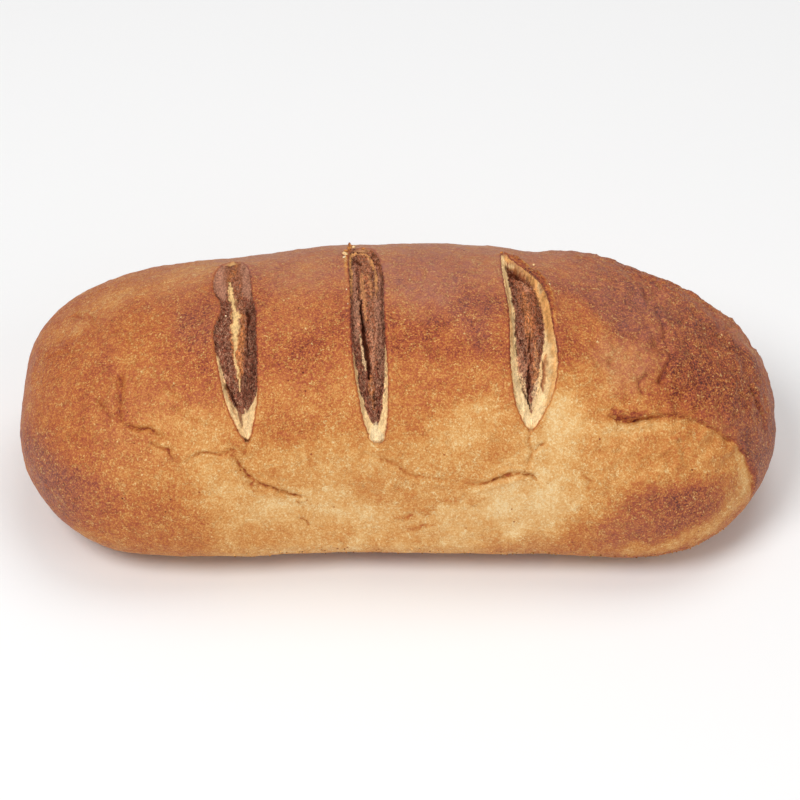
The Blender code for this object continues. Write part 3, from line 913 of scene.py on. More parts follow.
def make_crust(material):
    """The whole crust as one closed skin: rows round the loaf, and a point at each end."""
    girths = crust_rows()
    runs = crust_columns(girths)
    girth = np.repeat(girths[:, None], runs.shape[1], axis=1)
    base = laid_on(runs, girth)
    normal = outward(runs, girth)
    places = base / MM
    depth, inside, outside = trench_depth(runs, girth)
    creases, crease_gap, crease_shade = crease_relief(girth, runs, places)
    turned, turned_height, turned_browning = rims(runs, girth, places)
    relief = crust_detail(places) + creases * eased(outside / 2)
    relief += turned_height
    height = swell(runs, girth) + lip_height(runs, girth) - depth + relief * (1 - inside)
    points = base + normal * height[..., None] * MM
    points[..., 2] = np.maximum(points[..., 2], 0)
    tips = []
    for end in RUNS[[0, -1]]:
        tip = laid_on(np.array(end), np.array(0.0))
        tip[0] += np.sign(end) * swell(np.array(end), np.array(0.0)) * MM
        tips.append(tip)
    rows, columns = runs.shape
    vertices = np.concatenate([points.reshape(-1, 3), tips])
    left_tip, right_tip = rows * columns, rows * columns + 1
    faces = []
    for i in range(rows):
        a, b = i * columns, (i + 1) % rows * columns
        faces.append((left_tip, a, b))
        faces += [(a + j, a + j + 1, b + j + 1, b + j) for j in range(columns - 1)]
        faces.append((a + columns - 1, right_tip, b + columns - 1))
    piece = mesh_object("crust", vertices, faces, material)

    browning, ash_and_sheen = crust_colour(girth, runs, places)
    browning += RIM_COVER * turned * (turned_browning - browning)
    ash_and_sheen *= 1 - turned
    fields = {
        "browning": (browning, (0.55, 0.75)),
        "ash_and_sheen": (ash_and_sheen, (0.3, 0.3)),
        "crumb": (inside, (0, 0)),
        "crease": (crease_gap, (3, 3)),
        "crease_shade": (crease_shade, (0, 0)),
        "lip": (outside, (FAR_OUTSIDE, FAR_OUTSIDE)),
    }
    for name, (values, at_tips) in fields.items():
        set_attribute(piece, name, np.concatenate([values.ravel(), at_tips]))
    return piece


# The torn dough

TEAR_STEP = 0.27
TEAR_COLUMNS = 64

# In millimetres: how far the torn dough goes in under the crust, its thickness, how much lower than
# the lips it starts, and how much lower still its two ends are
TUCK = 0.9
UNDER = 2.0
DROP = 0.45
END_DROP = 1.2
END_DROP_REACH = 1.5
SLOPE_UNDER_LIP = 2

# The wall between lip and dark layer, least and most wide
WALL = (1.1, 4.5)

# The dark layer: unevenness of its edge as height and size, and how much its middle swells up over
# what distance
LAYER_EDGE = (0.35, 2.4)
LAYER_SWELL = 0.5
LAYER_SWELL_REACH = 2.2

# Fibres run along the slash: how much shorter the noise sees that direction, sizes of the broad and
# the fine ones, how much they shade the dough and the strands, and how high they stand
FIBRE_SQUEEZE = 0.3
STREAK_SIZE = 1.1
THREAD_SIZE = 0.8
STREAK_SHADE = 0.3
STRAND_SHADE = 0.15
STREAK_HEIGHT = 0.34
CRUMB_RELIEF = (0.30, 2.4)

# How far strands wander off their lines, as distance and size: in girth, and in run
GIRTH_WARP = (0.6, 3)
RUN_WARP = (0.34, 2.0)
STRAND_SOFTNESS = (0.35, 1.2)
FLOUR_ON_DARK = 0.75
FLOUR_DUST = 1.6
CREAM = tone(227, 191, 138)
MARBLE = tone(104, 58, 42)

# Paints of the strands: red, green, blue, and how much of the flour under them stays
PAINTS = {
    "pale": (228, 202, 158, 0.0),
    "grey_cream": (212, 178, 134, 0.2),
    "gold": (210, 152, 88, 0.4),
    "bright": (240, 206, 150, 0.8),
    "creamy": (228, 190, 130, 0.05),
    "honey": (222, 164, 100, 0.25),
    "amber": (174, 108, 62, 0.8),
    "umber": (98, 44, 20, 0.8),
    "tan": (182, 124, 80, 0.3),
    "orange": (166, 102, 56, 0.4),
    "deep": (84, 46, 32, 0.8),
    "skin": (166, 116, 92, 0.12),
    "warm": (130, 76, 50, 0.8),
    "rose": (164, 112, 84, 0.8),
    # Painted shadow in the crevices and under the torn tops of the slashes
    "hollow": (66, 26, 10, 0.0),
}

# Floor of each slash: girth, depth
FLOORS = {
    "left": (
        (-66, 0.6), (-56, 1.5), (-46, 2.1), (-26, 2.4), (-8, 2.1), (4, 1.5), (14, 0.9), (30, 0.3),
    ),
    "middle": (
        (-67, 0.4), (-58, 1.4), (-46, 2.4), (-20, 2.9), (2, 2.5), (12, 2), (19, 1.1), (26, 0.4),
    ),
    "right": (
        (-62, 0.5), (-54, 2.2), (-44, 3.7), (-24, 4.2), (0, 3.9), (9, 3.4), (14, 2), (24, 0.5),
    ),
}

# Dark layer of each slash: girth, run of its left edge, run of its right edge
DARK_LAYERS = {
    "left": (
        (-55.7, -57.2, -56.4), (-54.2, -59.5, -54.8), (-52.2, -60.4, -53.9), (-50.3, -61.5, -52.9),
        (-49, -62, -52.2), (-46.2, -62.9, -51.7), (-42.4, -63.9, -51), (-38.2, -64.9, -50.8),
        (-31.8, -66.5, -50.8), (-29.8, -69, -50.4), (-9.7, -70, -49), (28, -72, -49),
    ),
    "middle": (
        (-59.8, -8.9, -8.1), (-59.1, -9.7, -7.8), (-57.5, -11.2, -7.1), (-54.3, -12.3, -6.5),
        (-50.4, -13.4, -6), (-46.6, -14.6, -5.8), (-42.8, -15.2, -5.7), (-38.8, -15.8, -5.5),
        (-34.3, -16.6, -5.5), (-30.7, -18, -5.3), (-27.8, -19, -4.6), (-15.8, -20, -3.6),
        (24, -22, -4),
    ),
    "right": (
        (-55.1, 47.7, 48.1), (-53.3, 47.3, 48.4), (-50.3, 46.2, 48.9), (-45.7, 44.9, 49.9),
        (-41.3, 44, 50.6), (-37.8, 43.2, 51), (-32.1, 42.9, 51.9), (-28, 42.6, 52.8),
        (-23.4, 42.5, 53.3), (-18.2, 42.5, 53.8), (-13.2, 42.3, 53.7), (-9.4, 42, 53.2),
        (-5.2, 41.7, 52.4), (-0.4, 41.3, 51.7), (3.4, 40.9, 50.6), (7.6, 40.5, 49.4),
        (9.8, 40.4, 47.5), (11.6, 40.3, 45.5), (13.8, 40.1, 43), (15.4, 40, 41.3),
        (17.1, 40.1, 40.6),
    ),
}

# Strands of each slash, each laid over those before it: paint, height, how much it covers, and
# then its line as (girth, run, half width) points. Flour is a dusting that leaves the colour.
STRANDS = {
    "left": (
        ("skin", 0.3, 0.85, (24, -66.8, 2.2), (17.7, -67.2, 2.8), (10.1, -67.2, 3.2),
         (2.3, -66.4, 2.6), (-2.6, -65.2, 0.8)),
        ("skin", 0.3, 0.85, (26, -60, 2.6), (18, -58.4, 3), (8.2, -57, 2.8), (0.4, -56.2, 2),
         (-4.6, -55.2, 0.8)),
        ("warm", 0.1, 0.8, (28, -63, 2.4), (19.9, -62.6, 2.8), (11.1, -62.2, 3.2), (2.3, -61.2, 3),
         (-5.6, -60.4, 2.6), (-16, -58.8, 3), (-28.5, -58.6, 2.8), (-39.1, -58.4, 2),
         (-45.4, -58.2, 1)),
        ("orange", 0, 0.6, (21.9, -61.2, 0.6), (12, -62.6, 1), (7.2, -63.8, 0.4)),
        ("orange", -0.2, 0.6, (-10.7, -58.2, 0.4), (-13.9, -58, 0.7), (-20.1, -57.6, 1),
         (-25.4, -57.6, 0.9), (-30.7, -58.2, 1), (-36, -57.9, 0.8), (-40.2, -57.4, 0.4)),
        ("orange", -0.2, 0.7, (-9.7, -62.2, 0.3), (-18, -61.8, 0.6), (-26.4, -61.2, 0.8),
         (-32.8, -60.6, 0.5)),
        ("deep", -0.3, 0.75, (-9.7, -54.6, 0.8), (-18.1, -54.4, 1.4), (-28.6, -54.2, 1.9),
         (-39.1, -54.4, 2.2), (-46.5, -54.8, 2), (-50.7, -55.8, 1.2)),
        ("amber", -0.3, 0.8, (-19.9, -58, 0.4), (-24.1, -58, 0.7), (-27.8, -58.2, 0.8),
         (-31.4, -58.6, 0.7), (-34.6, -58.2, 0.6), (-38.2, -57.7, 0.4)),
        ("creamy", -0.25, 0.95, (6.8, -63.4, 0.35), (2, -62.9, 0.8), (-3.2, -62, 0.95),
         (-7.9, -61, 1.1), (-12.6, -60.6, 1.4), (-17.3, -60.5, 1.4), (-22.5, -60.1, 1.2),
         (-26.2, -60, 0.8), (-29.3, -60.2, 0.5), (-33, -60.1, 0.4), (-36.1, -59.6, 0.5),
         (-39.8, -58.7, 0.5), (-42.9, -58.5, 0.45), (-46.5, -58, 0.2)),
        ("orange", -0.2, 0.7, (-20, -59.2, 0.3), (-25, -59.2, 0.5), (-31, -59.5, 0.5),
         (-36, -58.9, 0.4), (-43, -57.9, 0.3)),
        ("warm", -0.4, 0.85, (-4.2, -61, 0.3), (-6.3, -60.5, 0.7), (-9.5, -60, 0.3)),
        ("hollow", -1.2, 0.9, (-9.5, -56.5, 0.3), (-12.6, -55.7, 0.55), (-16.3, -55.6, 0.55),
         (-19.4, -56, 0.22), (-32.8, -55.6, 0.1)),
        ("deep", -0.7, 0.85, (-40.8, -57, 0.3), (-42.9, -57, 0.85), (-45.5, -57, 0.6),
         (-47.6, -57, 0.2)),
        ("hollow", -1.1, 0.85, (-43.9, -63.4, 0.2), (-45.4, -62.9, 0.6), (-47.1, -62, 0.6),
         (-49.8, -60.6, 0.4), (-52.3, -59.4, 0.45), (-53.8, -59, 0.1)),
        ("warm", -0.4, 0.85, (-52.7, -59.4, 0.3), (-56.4, -58.1, 0.6), (-58.6, -57.8, 0.4),
         (-61, -57.2, 0.15)),
        ("orange", -0.4, 0.5, (-41.5, -64.6, 0.3), (-47.5, -62.8, 0.4), (-53.8, -60.6, 0.4),
         (-58, -59, 0.3)),
        ("grey_cream", 0.1, 0.6, (-54.8, -55.6, 1), (-59, -55.6, 1.6), (-63, -55.2, 1)),
        ("umber", -0.4, 0.95, (-62.6, -58.4, 0.3), (-64.6, -57.2, 0.9), (-66.2, -55.8, 0.9),
         (-64.4, -54.2, 0.4)),
        ("flour", 0.1, 0.8, (-9.7, -64.6, 1), (-20.1, -65, 2), (-30.6, -64, 2.2),
         (-39.1, -62.6, 1.8), (-46.4, -60, 1.4)),
    ),
    "middle": (
        ("warm", 0.3, 0.8, (20.8, -14.4, 1.8), (11.8, -12.8, 2.2), (-0.6, -12, 2.2),
         (-13.4, -11.2, 2), (-26.3, -10.2, 1.6), (-37, -9.6, 1.2), (-43.3, -10, 0.6)),
        ("skin", 0.2, 0.6, (10.6, -7.6, 0.8), (-2.8, -7.6, 1.2), (-15.5, -7.8, 1.4),
         (-28.4, -7.2, 1.2), (-41.2, -6.8, 0.6)),
        ("deep", -0.5, 0.7, (-20, -7.6, 0.3), (-30, -7.2, 0.8), (-42, -6.8, 0.7), (-50, -7.2, 0.3)),
        ("deep", -0.3, 0.6, (-24, -15.4, 0.5), (-34, -14.6, 0.9), (-46, -13, 0.8),
         (-52, -11.8, 0.3)),
        ("skin", 0.1, 0.6, (13.6, -17.4, 0.7), (-0.6, -17, 0.8), (-13.4, -16.4, 0.9),
         (-26.3, -16, 0.8)),
        ("warm", 0.2, 0.9, (27, -15, 1.6), (24, -11.6, 2), (20.2, -9.2, 1.4), (12.3, -7.6, 0.9),
         (3.5, -6.8, 0.5)),
        ("deep", -0.3, 0.8, (5.9, -6.6, 0.3), (-0.9, -6.4, 0.7), (-12.7, -6.5, 0.5),
         (-23.2, -6, 0.6), (-34.9, -5.9, 0.3)),
        ("tan", 0.3, 0.85, (8.7, -14.2, 0.3), (1.5, -13.8, 0.9), (-4.9, -13.3, 1),
         (-10.9, -13.1, 0.6), (-17.7, -12.4, 0.3)),
        ("tan", 0.2, 0.7, (8.4, -12.7, 0.3), (4, -11.2, 0.6), (-0.9, -10.7, 0.5), (-7, -10.6, 0.2)),
        ("rose", 0.2, 0.75, (-2, -15.8, 0.2), (-10, -15.3, 0.4), (-18, -15.2, 0.4),
         (-25, -15, 0.2)),
        ("rose", 0.2, 0.7, (-1.6, -9.8, 0.2), (-9.9, -9.2, 0.4), (-20, -8.6, 0.35),
         (-29, -8.8, 0.2)),
        ("rose", 0.2, 0.7, (-16.6, -10.9, 0.3), (-23.7, -10.7, 0.8), (-28.2, -9.9, 0.7),
         (-35, -9.4, 0.8), (-39.4, -10, 0.4)),
        ("rose", 0.1, 0.6, (-22, -8.7, 0.2), (-28.2, -8.3, 0.6), (-32.2, -8.3, 0.3)),
        ("orange", -0.1, 0.7, (-41.2, -10.6, 0.3), (-45.4, -10.4, 1), (-50.4, -9.9, 0.8),
         (-53.8, -9.4, 0.3)),
        # Painted shadow in the upper part of the middle slash's crevice
        ("deep", -0.8, 0.8, (12.7, -15.7, 0.1), (1.9, -15.2, 0.2), (-6.4, -14.7, 0.2),
         (-14.2, -14.2, 0.3), (-19.1, -13.7, 0.3)),
        ("hollow", -1.7, 0.97, (-8, -14.6, 0.1), (-16, -14, 0.35), (-21, -13.5, 0.5),
         (-26, -13, 0.6), (-31.5, -12.2, 0.7), (-36.7, -11.6, 0.7), (-41, -11.2, 0.45),
         (-42.7, -11.1, 0.1)),
        ("hollow", -0.9, 0.85, (-47.1, -9.4, 0.15), (-48.8, -9.2, 0.45), (-51.6, -9.2, 0.55),
         (-53.4, -9.2, 0.1)),
        ("hollow", -1, 0.85, (18.9, -17.6, 0.2), (17.6, -17, 0.6), (16, -16, 0.8),
         (13.5, -14.6, 0.3)),
        ("grey_cream", 0.1, 0.8, (-24.1, -14.6, 0.1), (-27.7, -14.2, 0.3), (-31.5, -13.6, 0.45),
         (-35.5, -13.1, 0.6), (-38.5, -12.6, 0.25)),
        ("gold", 0.25, 0.8, (19.1, -18.8, 0.5), (15.2, -18.6, 0.45), (8.4, -18.2, 0.4),
         (-1, -18, 0.3), (-8.8, -17.7, 0.15)),
        ("tan", 0.45, 0.95, (19.1, -18.8, 0.8), (22, -17.4, 1), (23.3, -15.2, 0.9),
         (19.6, -12.4, 0.8), (16, -10.8, 0.7), (12.2, -9.8, 0.6), (7.3, -9, 0.55),
         (-0.9, -8.8, 0.5), (-7, -8.8, 0.2)),
        ("gold", 0.1, 0.5, (19.1, -18.8, 0.5), (22, -17.4, 0.6), (23.3, -15.2, 0.4),
         (19.6, -12.4, 0.3), (16, -10.8, 0.3), (7.6, -9, 0.25), (0.4, -8.8, 0.15)),
        ("pale", 0.1, 0.85, (-59.6, -8.8, 0.8), (-62.5, -8.6, 2), (-65, -8.4, 2.2),
         (-67, -8.3, 1.6)),
        ("flour", 0.1, 0.6, (-17.7, -7.6, 1.2), (-32.7, -7.2, 1.4), (-45.4, -8, 2.4),
         (-55.9, -9.4, 2)),
        ("flour", 0.1, 0.6, (-7, -16.8, 0.8), (-22, -16, 1), (-37, -14.4, 1.2)),
    ),
    "right": (
        ("tan", 0.3, 0.8, (24, 39.5, 1.0), (19, 41.8, 1.5), (14.5, 44.7, 1.6), (10, 47.3, 1.1)),
        ("honey", 0.4, 0.9, (22.5, 39.4, 0.4), (19, 41, 0.55), (16.5, 44, 0.55), (12.8, 46.6, 0.6),
         (8.4, 49, 0.7), (4, 50.4, 0.9), (-2, 52.1, 1.0), (-7, 53.4, 1.1), (-13, 54.6, 1.1),
         (-20, 55.2, 1.0)),
        ("orange", -0.4, 0.85, (16, 41, 0.25), (13.5, 43.4, 0.5), (10.4, 46.4, 0.45),
         (7, 48.8, 0.3)),
        ("warm", -0.5, 0.9, (10, 49.6, 0.3), (4, 52, 0.5), (-2, 54, 0.5), (-8, 55.2, 0.5),
         (-15, 56, 0.4), (-24, 56.8, 0.3)),
        ("gold", 0.2, 0.75, (-1.4, 53.2, 0.4), (-11, 54.6, 0.7), (-23, 55.4, 0.8),
         (-33.7, 56.4, 0.9), (-43.8, 55.6, 0.8), (-52, 53, 0.5)),
        ("bright", 0, 0.8, (21.1, 38.4, 0.6), (10.4, 38.9, 0.9), (-0.3, 40, 1), (-11.1, 41, 1.1),
         (-28.5, 41.4, 1.2), (-43.5, 42.4, 1.6), (-53.9, 45, 1.6)),
        ("gold", 0.1, 0.6, (5.5, 38.8, 0.3), (-8.1, 40.2, 0.5), (-19.3, 40.6, 0.7),
         (-29.4, 40.8, 0.4)),
        ("pale", 0, 0.6, (-35.1, 41.6, 0.7), (-43.4, 42.6, 1), (-51.8, 44.6, 1.4),
         (-58, 46.6, 1.6)),
        ("pale", 0, 0.5, (-45.3, 52.4, 0.8), (-52.8, 50.4, 1.2), (-59, 48.4, 1.2)),
        ("warm", 0.4, 0.9, (11.7, 43.6, 1.6), (7.4, 45.8, 3), (0, 47, 3.6), (-8.5, 47.9, 3.8),
         (-16.7, 48.2, 3.4), (-24.3, 48.4, 2.6), (-34.3, 49, 2), (-43, 48.6, 1)),
        ("deep", -0.2, 0.5, (2.4, 50.4, 0.4), (-3.4, 51.4, 0.8), (-13.4, 52.4, 0.9),
         (-25.5, 52, 0.9), (-31, 51.4, 0.4)),
        ("rose", 0.2, 0.75, (9.6, 44.6, 0.5), (6.9, 46.2, 1.2), (2.5, 47.4, 0.9), (0, 48, 0.3)),
        ("amber", 0.3, 0.6, (1, 45.8, 0.5), (-4.5, 46.2, 1.2), (-9.5, 46.9, 1.5),
         (-14.5, 47.6, 1.8), (-19.5, 47.6, 1.7), (-23, 47.6, 0.9)),
        ("rose", 0.2, 0.6, (-27.7, 43.8, 0.4), (-32.1, 44.2, 1.2), (-35.5, 44.7, 1.5),
         (-39.7, 45.2, 1.3), (-43.5, 45.4, 0.6)),
        ("tan", 0.2, 0.6, (-25.5, 50, 0.3), (-32.1, 50.2, 0.9), (-38.7, 49.8, 1),
         (-44.1, 49.2, 0.6)),
        ("grey_cream", 0.2, 0.75, (-39.7, 44.4, 0.4), (-44.1, 45, 0.9), (-48.5, 46, 0.9),
         (-52.8, 47.2, 0.6)),
        ("grey_cream", 0.2, 0.75, (-41.9, 50.4, 0.3), (-46.3, 49.6, 0.8), (-50.6, 48.8, 0.7),
         (-53.8, 48.2, 0.4)),
        ("flour", 0.1, 0.9, (-21, 44, 0.8), (-29.9, 44.4, 1.6), (-38.7, 45.4, 1.8),
         (-47.4, 46.4, 1)),
        ("flour", 0.1, 0.7, (-23.2, 51.6, 0.8), (-36.5, 50.2, 1.4), (-47.4, 49.2, 0.9)),
        ("hollow", -0.9, 0.8, (-45.4, 44.8, 0.1), (-46.5, 45.1, 0.45), (-48.7, 45.9, 0.35),
         (-49.5, 46.2, 0.1)),
        ("hollow", -1, 0.85, (-21.1, 47.9, 0.1), (-23.8, 47.9, 0.3), (-26.4, 47.8, 0.45),
         (-29.8, 47.4, 0.2)),
        ("hollow", -1, 0.8, (-30.6, 47.9, 0.1), (-33.2, 47.9, 0.35), (-36.1, 47.7, 0.2)),
        ("hollow", -1.6, 0.95, (-36.1, 47.4, 0.2), (-39.2, 47, 0.65), (-41.3, 47, 0.8),
         (-44.1, 47.3, 0.45), (-48, 46.9, 0.35), (-50.3, 46.9, 0.3), (-53.6, 47.5, 0.1)),
        # Painted shadow under the right slash's undercut top
        ("umber", -1.1, 0.97, (17.4, 40, 0.4), (15.2, 40.8, 1.2), (12.2, 42, 1.9),
         (10.9, 43.4, 1.9), (9.5, 45, 1.4), (7.4, 47, 0.7), (4.6, 48.6, 0.2)),
        ("hollow", -0.4, 0.85, (15.4, 40.9, 0.3), (12.6, 42, 1.1), (11.2, 43.5, 1.2),
         (9.8, 45, 0.8), (8, 46.6, 0.2)),
        ("deep", -0.9, 0.9, (9.4, 40.7, 0.3), (7, 41.6, 0.7), (3.8, 42.7, 0.7), (0.6, 43.8, 0.3)),
        ("deep", -0.5, 0.8, (10.1, 44.2, 0.2), (8.6, 45.8, 0.35), (6.8, 47.4, 0.35),
         (3.7, 48.4, 0.2)),
        ("deep", -0.5, 0.6, (0, 44.6, 0.2), (-5.6, 45.4, 0.4), (-12.2, 45.8, 0.3),
         (-18.9, 46, 0.1)),
        ("deep", -0.6, 0.8, (-10, 50.6, 0.15), (-13.4, 50.8, 0.55), (-16.7, 51, 0.2)),
        ("amber", -0.5, 0.8, (-30.8, 53.8, 0.3), (-33.5, 53.5, 0.7), (-38, 53, 0.8),
         (-43.4, 52.6, 0.6), (-46.5, 52.1, 0.3)),
        ("warm", -0.3, 0.8, (-34, 53, 0.3), (-38, 52.6, 0.5), (-43, 52.2, 0.4), (-46, 52, 0.2)),
    ),
}

def tear_surface(name, girth, run, points, inward):
    """Height under the lips, colour with painted shadow in its crevices, and flouriness of a slash's
    torn dough.
    """
    floor = np.interp(girth, *zip(*FLOORS[name]))
    edges = np.array(DARK_LAYERS[name])
    left_edge = np.interp(girth, edges[:, 0], edges[:, 1])
    right_edge = np.interp(girth, edges[:, 0], edges[:, 2])
    uneven = LAYER_EDGE[0] * layered_noise(points, LAYER_EDGE[1], 131)
    within = np.minimum(run - left_edge, right_edge - run) + uneven
    within = np.where(girth < edges[0, 0], np.minimum(within, girth - edges[0, 0]), within)
    dark = eased(within / 0.5 + 0.5)
    middle, half_width, _ = lips(name, girth)
    left_gap = left_edge - middle + half_width
    wall = np.clip(np.where(run < middle, left_gap, middle + half_width - right_edge), *WALL)
    height = -floor * eased(inward / wall)
    height += LAYER_SWELL * dark * eased(within / LAYER_SWELL_REACH) * np.minimum(floor / 2, 1)

    fibres = points * (1, FIBRE_SQUEEZE, FIBRE_SQUEEZE)
    streaks = layered_noise(fibres, STREAK_SIZE, 141, 3, 0.6)
    threads = layered_noise(fibres, THREAD_SIZE, 171, 2, 0.7)
    colour = CREAM * (1 - dark[..., None]) + MARBLE * dark[..., None]
    colour = colour * (1 + STREAK_SHADE * streaks[..., None] * (0.4 + 0.6 * dark[..., None]))
    warped_girth = girth + GIRTH_WARP[0] * layered_noise(points, GIRTH_WARP[1], 151)
    warped_run = run + RUN_WARP[0] * layered_noise(points, RUN_WARP[1], 161, 3, 0.7)
    floury = FLOUR_ON_DARK * dark
    for paint, lift, cover, *line in STRANDS[name]:
        gap, place = line_distance(warped_girth, warped_run, line)
        reach = reach_along([point[:2] for point in line])
        half = np.interp(place, reach / reach[-1], [point[2] for point in line])
        soft = np.clip(half, *STRAND_SOFTNESS)
        weight = eased(0.5 + (half - np.abs(gap)) / soft + 0.45 * threads * (half > 0.3)) * cover
        height += lift * weight * eased(inward / 0.8)
        if paint == "flour":
            floury = floury + FLOUR_DUST * weight
            continue
        *shade, keep = PAINTS[paint]
        shade = tone(*shade) * (1 + STRAND_SHADE * streaks[..., None])
        colour = colour + (shade - colour) * weight[..., None]
        floury = floury * (1 - weight * (1 - keep))
    height += STREAK_HEIGHT * streaks * eased(inward / 0.5)
    crumb = CRUMB_RELIEF[0] * layered_noise(points, CRUMB_RELIEF[1], 51, 3, 0.6)
    height += crumb * eased(inward / 0.5)
    edge = eased(1 - inward / 0.7)[..., None]
    colour = colour + (tone(*PAINTS["gold"][:3]) - colour) * edge * (1 - dark[..., None]) * 0.5
    return height, colour, np.clip(floury, 0, 1)


def make_tear(name, material):
    """The torn dough of a slash: a sheet with an underside, closed round its rim."""
    outline = SLASHES[name]
    low, high = outline[0][0] + 0.2, outline[-1][0] + CLOSE_IN - 0.05
    girths = np.linspace(low, high, round((high - low) / TEAR_STEP))
    middle, half_width, _ = lips(name, girths)
    stations = np.linspace(-1, 1, TEAR_COLUMNS)
    run = middle[:, None] + stations * (half_width[:, None] + TUCK)
    girth = np.repeat(girths[:, None], TEAR_COLUMNS, axis=1)
    ends = np.minimum(girth - low, high - girth)
    inward = np.minimum(half_width[:, None] - np.abs(run - middle[:, None]), ends)
    base = laid_on(run, girth)
    shape, colour, floury = tear_surface(name, girth, run, base / MM, np.maximum(inward, 0))
    height = swell(run, girth) + lip_height(run, girth) - DROP + shape
    end_drop = END_DROP * eased(1 - ends / END_DROP_REACH)
    height += np.minimum(inward, 0) * SLOPE_UNDER_LIP - end_drop
    normal = outward(run, girth)
    top = base + normal * height[..., None] * MM
    under = base + normal * (height[..., None] - UNDER) * MM
    rows, columns = run.shape
    count = rows * columns
    faces = []
    for i in range(rows - 1):
        for j in range(columns - 1):
            a = i * columns + j
            quad = (a, a + 1, a + columns + 1, a + columns)
            faces.append(quad)
            faces.append(tuple(count + k for k in reversed(quad)))
    rim = list(range(columns))
    rim += [i * columns + columns - 1 for i in range(1, rows)]
    rim += [(rows - 1) * columns + j for j in range(columns - 2, -1, -1)]
    rim += [i * columns for i in range(rows - 2, 0, -1)]
    for a, b in zip(rim, rim[1:] + rim[:1]):
        faces.append((b, a, count + a, count + b))
    vertices = np.concatenate([top.reshape(-1, 3), under.reshape(-1, 3)])
    piece = mesh_object("tear_" + name, vertices, faces, material)
    colour = np.clip(colour.reshape(-1, 3), 0.003, 1)
    set_attribute(piece, "dough", np.concatenate([colour, colour]))
    set_attribute(piece, "floury", np.concatenate([floury.ravel()] * 2))
    return piece


# Crumbs and meal

BALL_RINGS = 5
BALL_SIDES = 7


def ball(centre, radii, random):
    """Points and faces of a small uneven lump."""
    points = [(0, 0, -1)]
    for i in range(1, BALL_RINGS):
        tilt = np.pi * i / BALL_RINGS
        for k in range(BALL_SIDES):
            turn = 2 * np.pi * (k + 0.5 * (i % 2)) / BALL_SIDES
            points.append((np.sin(tilt) * np.cos(turn), np.sin(tilt) * np.sin(turn), -np.cos(tilt)))
    points.append((0, 0, 1))
    points = np.array(points) * random.uniform(0.75, 1.15, (len(points), 1)) * radii
    spin = random.uniform(0, 2 * np.pi)
    flat = np.array([[np.cos(spin), -np.sin(spin), 0], [np.sin(spin), np.cos(spin), 0], [0, 0, 1]])
    last = len(points) - 1
    faces = []
    for k in range(BALL_SIDES):
        after = (k + 1) % BALL_SIDES
        faces.append((0, 1 + after, 1 + k))
        top = 1 + (BALL_RINGS - 2) * BALL_SIDES
        faces.append((last, top + k, top + after))
        for i in range(BALL_RINGS - 2):
            a, b = 1 + i * BALL_SIDES, 1 + (i + 1) * BALL_SIDES
            faces.append((a + k, a + after, b + after, b + k))
    return points @ flat.T + centre, faces


def make_lumps(name, lumps, material, colours, seed):
    """One mesh of many small lumps: centre and radii in millimetres, and index of its colour."""
    random = np.random.default_rng(seed)
    vertices, faces, paint = [], [], []
    for centre, radii, index in lumps:
        points, sides = ball(np.array(centre), np.array(radii), random)
        start = len(vertices)
        vertices.extend(points * MM)
        faces.extend(tuple(start + k for k in side) for side in sides)
        paint.extend([colours[index] * random.uniform(0.85, 1.15)] * len(points))
    piece = mesh_object(name, np.array(vertices), faces, material)
    set_attribute(piece, "dough", np.clip(np.array(paint), 0, 1))
    set_attribute(piece, "floury", np.full(len(paint), 0.2))
    return piece


# Crumb rags and specks by the slashes: girth, run, height over the crust, radii, colour index
RAGS = (
    (24.6, -19.0, 0.6, (0.9, 1.0, 0.8), 1), (25.6, -18.6, 1.5, (0.7, 0.7, 0.8), 1),
    (26.0, -18.9, 2.4, (0.55, 0.6, 0.7), 3), (25.0, -17.4, 0.9, (0.7, 0.8, 0.6), 0),
    (18.8, -20.4, 0.5, (0.9, 1.3, 0.7), 0), (16.6, -20.6, 0.3, (0.6, 0.9, 0.5), 2),
    (21.6, -20.2, 0.6, (0.7, 1.0, 0.6), 1), (24.0, -13.8, 0.4, (0.9, 0.5, 0.4), 1),
    (-4.6, -19.6, 0.1, (0.28, 0.45, 0.28), 2), (-12.4, -19.0, 0.1, (0.2, 0.32, 0.2), 2),
    (-13.2, -64.0, -1.2, (0.35, 0.35, 0.35), 2), (24.8, 38.0, 0.2, (0.8, 0.4, 0.35), 1),
    (17.2, 50.0, 0.5, (0.6, 0.5, 0.35), 0), (2.6, 55.2, 0.4, (0.35, 0.7, 0.3), 0),
)

# Grains of meal: how many, runs in front and at the back, girths under the foot and at its edge,
# and half sizes
MEAL_COUNT = 320
MEAL_FRONT_RUNS = (-66, 128)
MEAL_BACK_RUNS = (-110, 110)
MEAL_UNDER = (118, 140)
MEAL_EDGE = (117, 122)
MEAL_SIZES = (0.16, 0.34)


def on_crust(girth, run, rise):
    """A point over the crust, in millimetres."""
    girth, run = np.array([float(girth)]), np.array([float(run)])
    base = laid_on(run, girth)
    height = swell(run, girth) + lip_height(run, girth) + crust_detail(base / MM) + rise
    return (base + outward(run, girth) * height[:, None] * MM)[0] / MM


def make_rags(material):
    """Torn crumb at the far ends of the slashes."""
    lumps = [(on_crust(girth, run, rise), radii, index) for girth, run, rise, radii, index in RAGS]
    colours = (CREAM, tone(190, 124, 66), tone(240, 220, 180), tone(150, 84, 46))
    return make_lumps("crumb_rags", lumps, material, colours, 171)


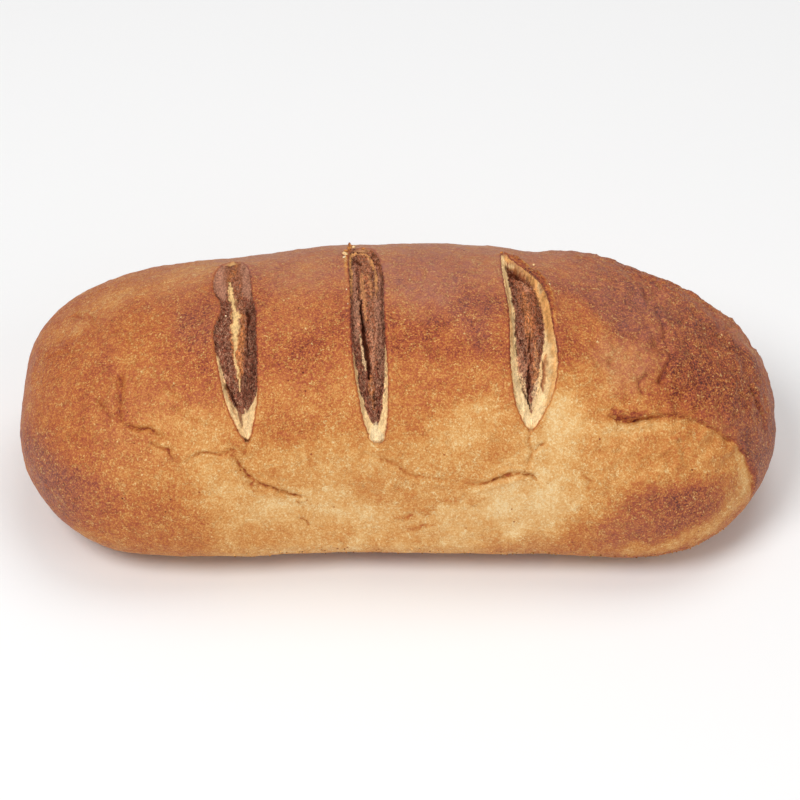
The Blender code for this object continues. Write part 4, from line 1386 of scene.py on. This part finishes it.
def make_meal(material):
    """Coarse meal that sticks to the foot of the loaf, most of it in front."""
    random = np.random.default_rng(181)
    lumps = []
    for i in range(MEAL_COUNT):
        side = -1 if i % 4 else 1
        run = random.uniform(*(MEAL_FRONT_RUNS if side < 0 else MEAL_BACK_RUNS))
        girth = side * random.uniform(*(MEAL_UNDER if i % 3 else MEAL_EDGE))
        size = random.uniform(*MEAL_SIZES)
        centre = on_crust(girth, run, 0.3 * size)
        if centre[2] > size:
            radii = (size * random.uniform(0.9, 1.5), size, size * 0.8)
            lumps.append((centre, radii, random.integers(0, 3)))
    colours = (tone(226, 184, 116), tone(206, 150, 88), tone(160, 104, 62))
    return make_lumps("meal", lumps, material, colours, 191)


# The stage

TARGET = Vector((0.0, -1.05 * MM, 34.9 * MM))
CAMERA_HEIGHT = np.radians(40)
CAMERA_DISTANCE = 1.2
FOCAL_PIXELS = 3159.5
FRAME_PIXELS = 800
SENSOR = 36
FLOOR_HALF = 4
FLOOR_SHADE = 0.9
WORLD_STRENGTH = 0.38

# Lights: name, place, size, power
LIGHTS = (
    ("key", (-0.75, -0.75, 1.45), 0.9, 17.5),
    ("fill", (1.1, -1.0, 0.9), 1.2, 5.5),
    ("top", (0.25, 0.45, 1.5), 1.0, 6.5),
)


def aim(thing, target):
    thing.rotation_euler = (target - thing.location).to_track_quat("-Z", "Y").to_euler()


def add_camera():
    camera = bpy.data.cameras.new("camera")
    camera.sensor_width = SENSOR
    camera.lens = SENSOR * FOCAL_PIXELS / FRAME_PIXELS
    camera.clip_end = 20
    holder = bpy.data.objects.new("camera", camera)
    direction = Vector((0, -np.cos(CAMERA_HEIGHT), np.sin(CAMERA_HEIGHT)))
    holder.location = TARGET + CAMERA_DISTANCE * direction
    aim(holder, TARGET)
    bpy.context.scene.collection.objects.link(holder)
    bpy.context.scene.camera = holder


def add_light(name, place, size, power):
    light = bpy.data.lights.new(name, "AREA")
    light.shape = "DISK"
    light.size = size
    light.energy = power
    holder = bpy.data.objects.new(name, light)
    holder.location = Vector(place)
    aim(holder, TARGET)
    bpy.context.scene.collection.objects.link(holder)


def add_stage():
    for light in LIGHTS:
        add_light(*light)
    world = bpy.data.worlds.new("studio")
    world.use_nodes = True
    background = world.node_tree.nodes["Background"]
    background.inputs["Color"].default_value = (1, 1, 1, 1)
    background.inputs["Strength"].default_value = WORLD_STRENGTH
    bpy.context.scene.world = world
    corners = [(-1, -1, 0), (1, -1, 0), (1, 1, 0), (-1, 1, 0)]
    paper = Nodes("floor")
    paper.surface.inputs["Base Color"].default_value = (FLOOR_SHADE, FLOOR_SHADE, FLOOR_SHADE, 1)
    paper.surface.inputs["Roughness"].default_value = 0.7
    points = FLOOR_HALF * np.array(corners, float)
    floor = mesh_object("floor", points, [(0, 1, 2, 3)], paper.material)
    scene = bpy.context.scene
    scene.view_settings.view_transform = "Standard"
    scene.view_settings.look = "None"


add_camera()
crust = make_crust(crust_material())
dough = dough_material()
pieces = [crust, make_rags(dough), make_meal(dough)] + [make_tear(name, dough) for name in SLASHES]
for piece in pieces:
    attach(piece, "root")
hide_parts("loaf")
add_stage()
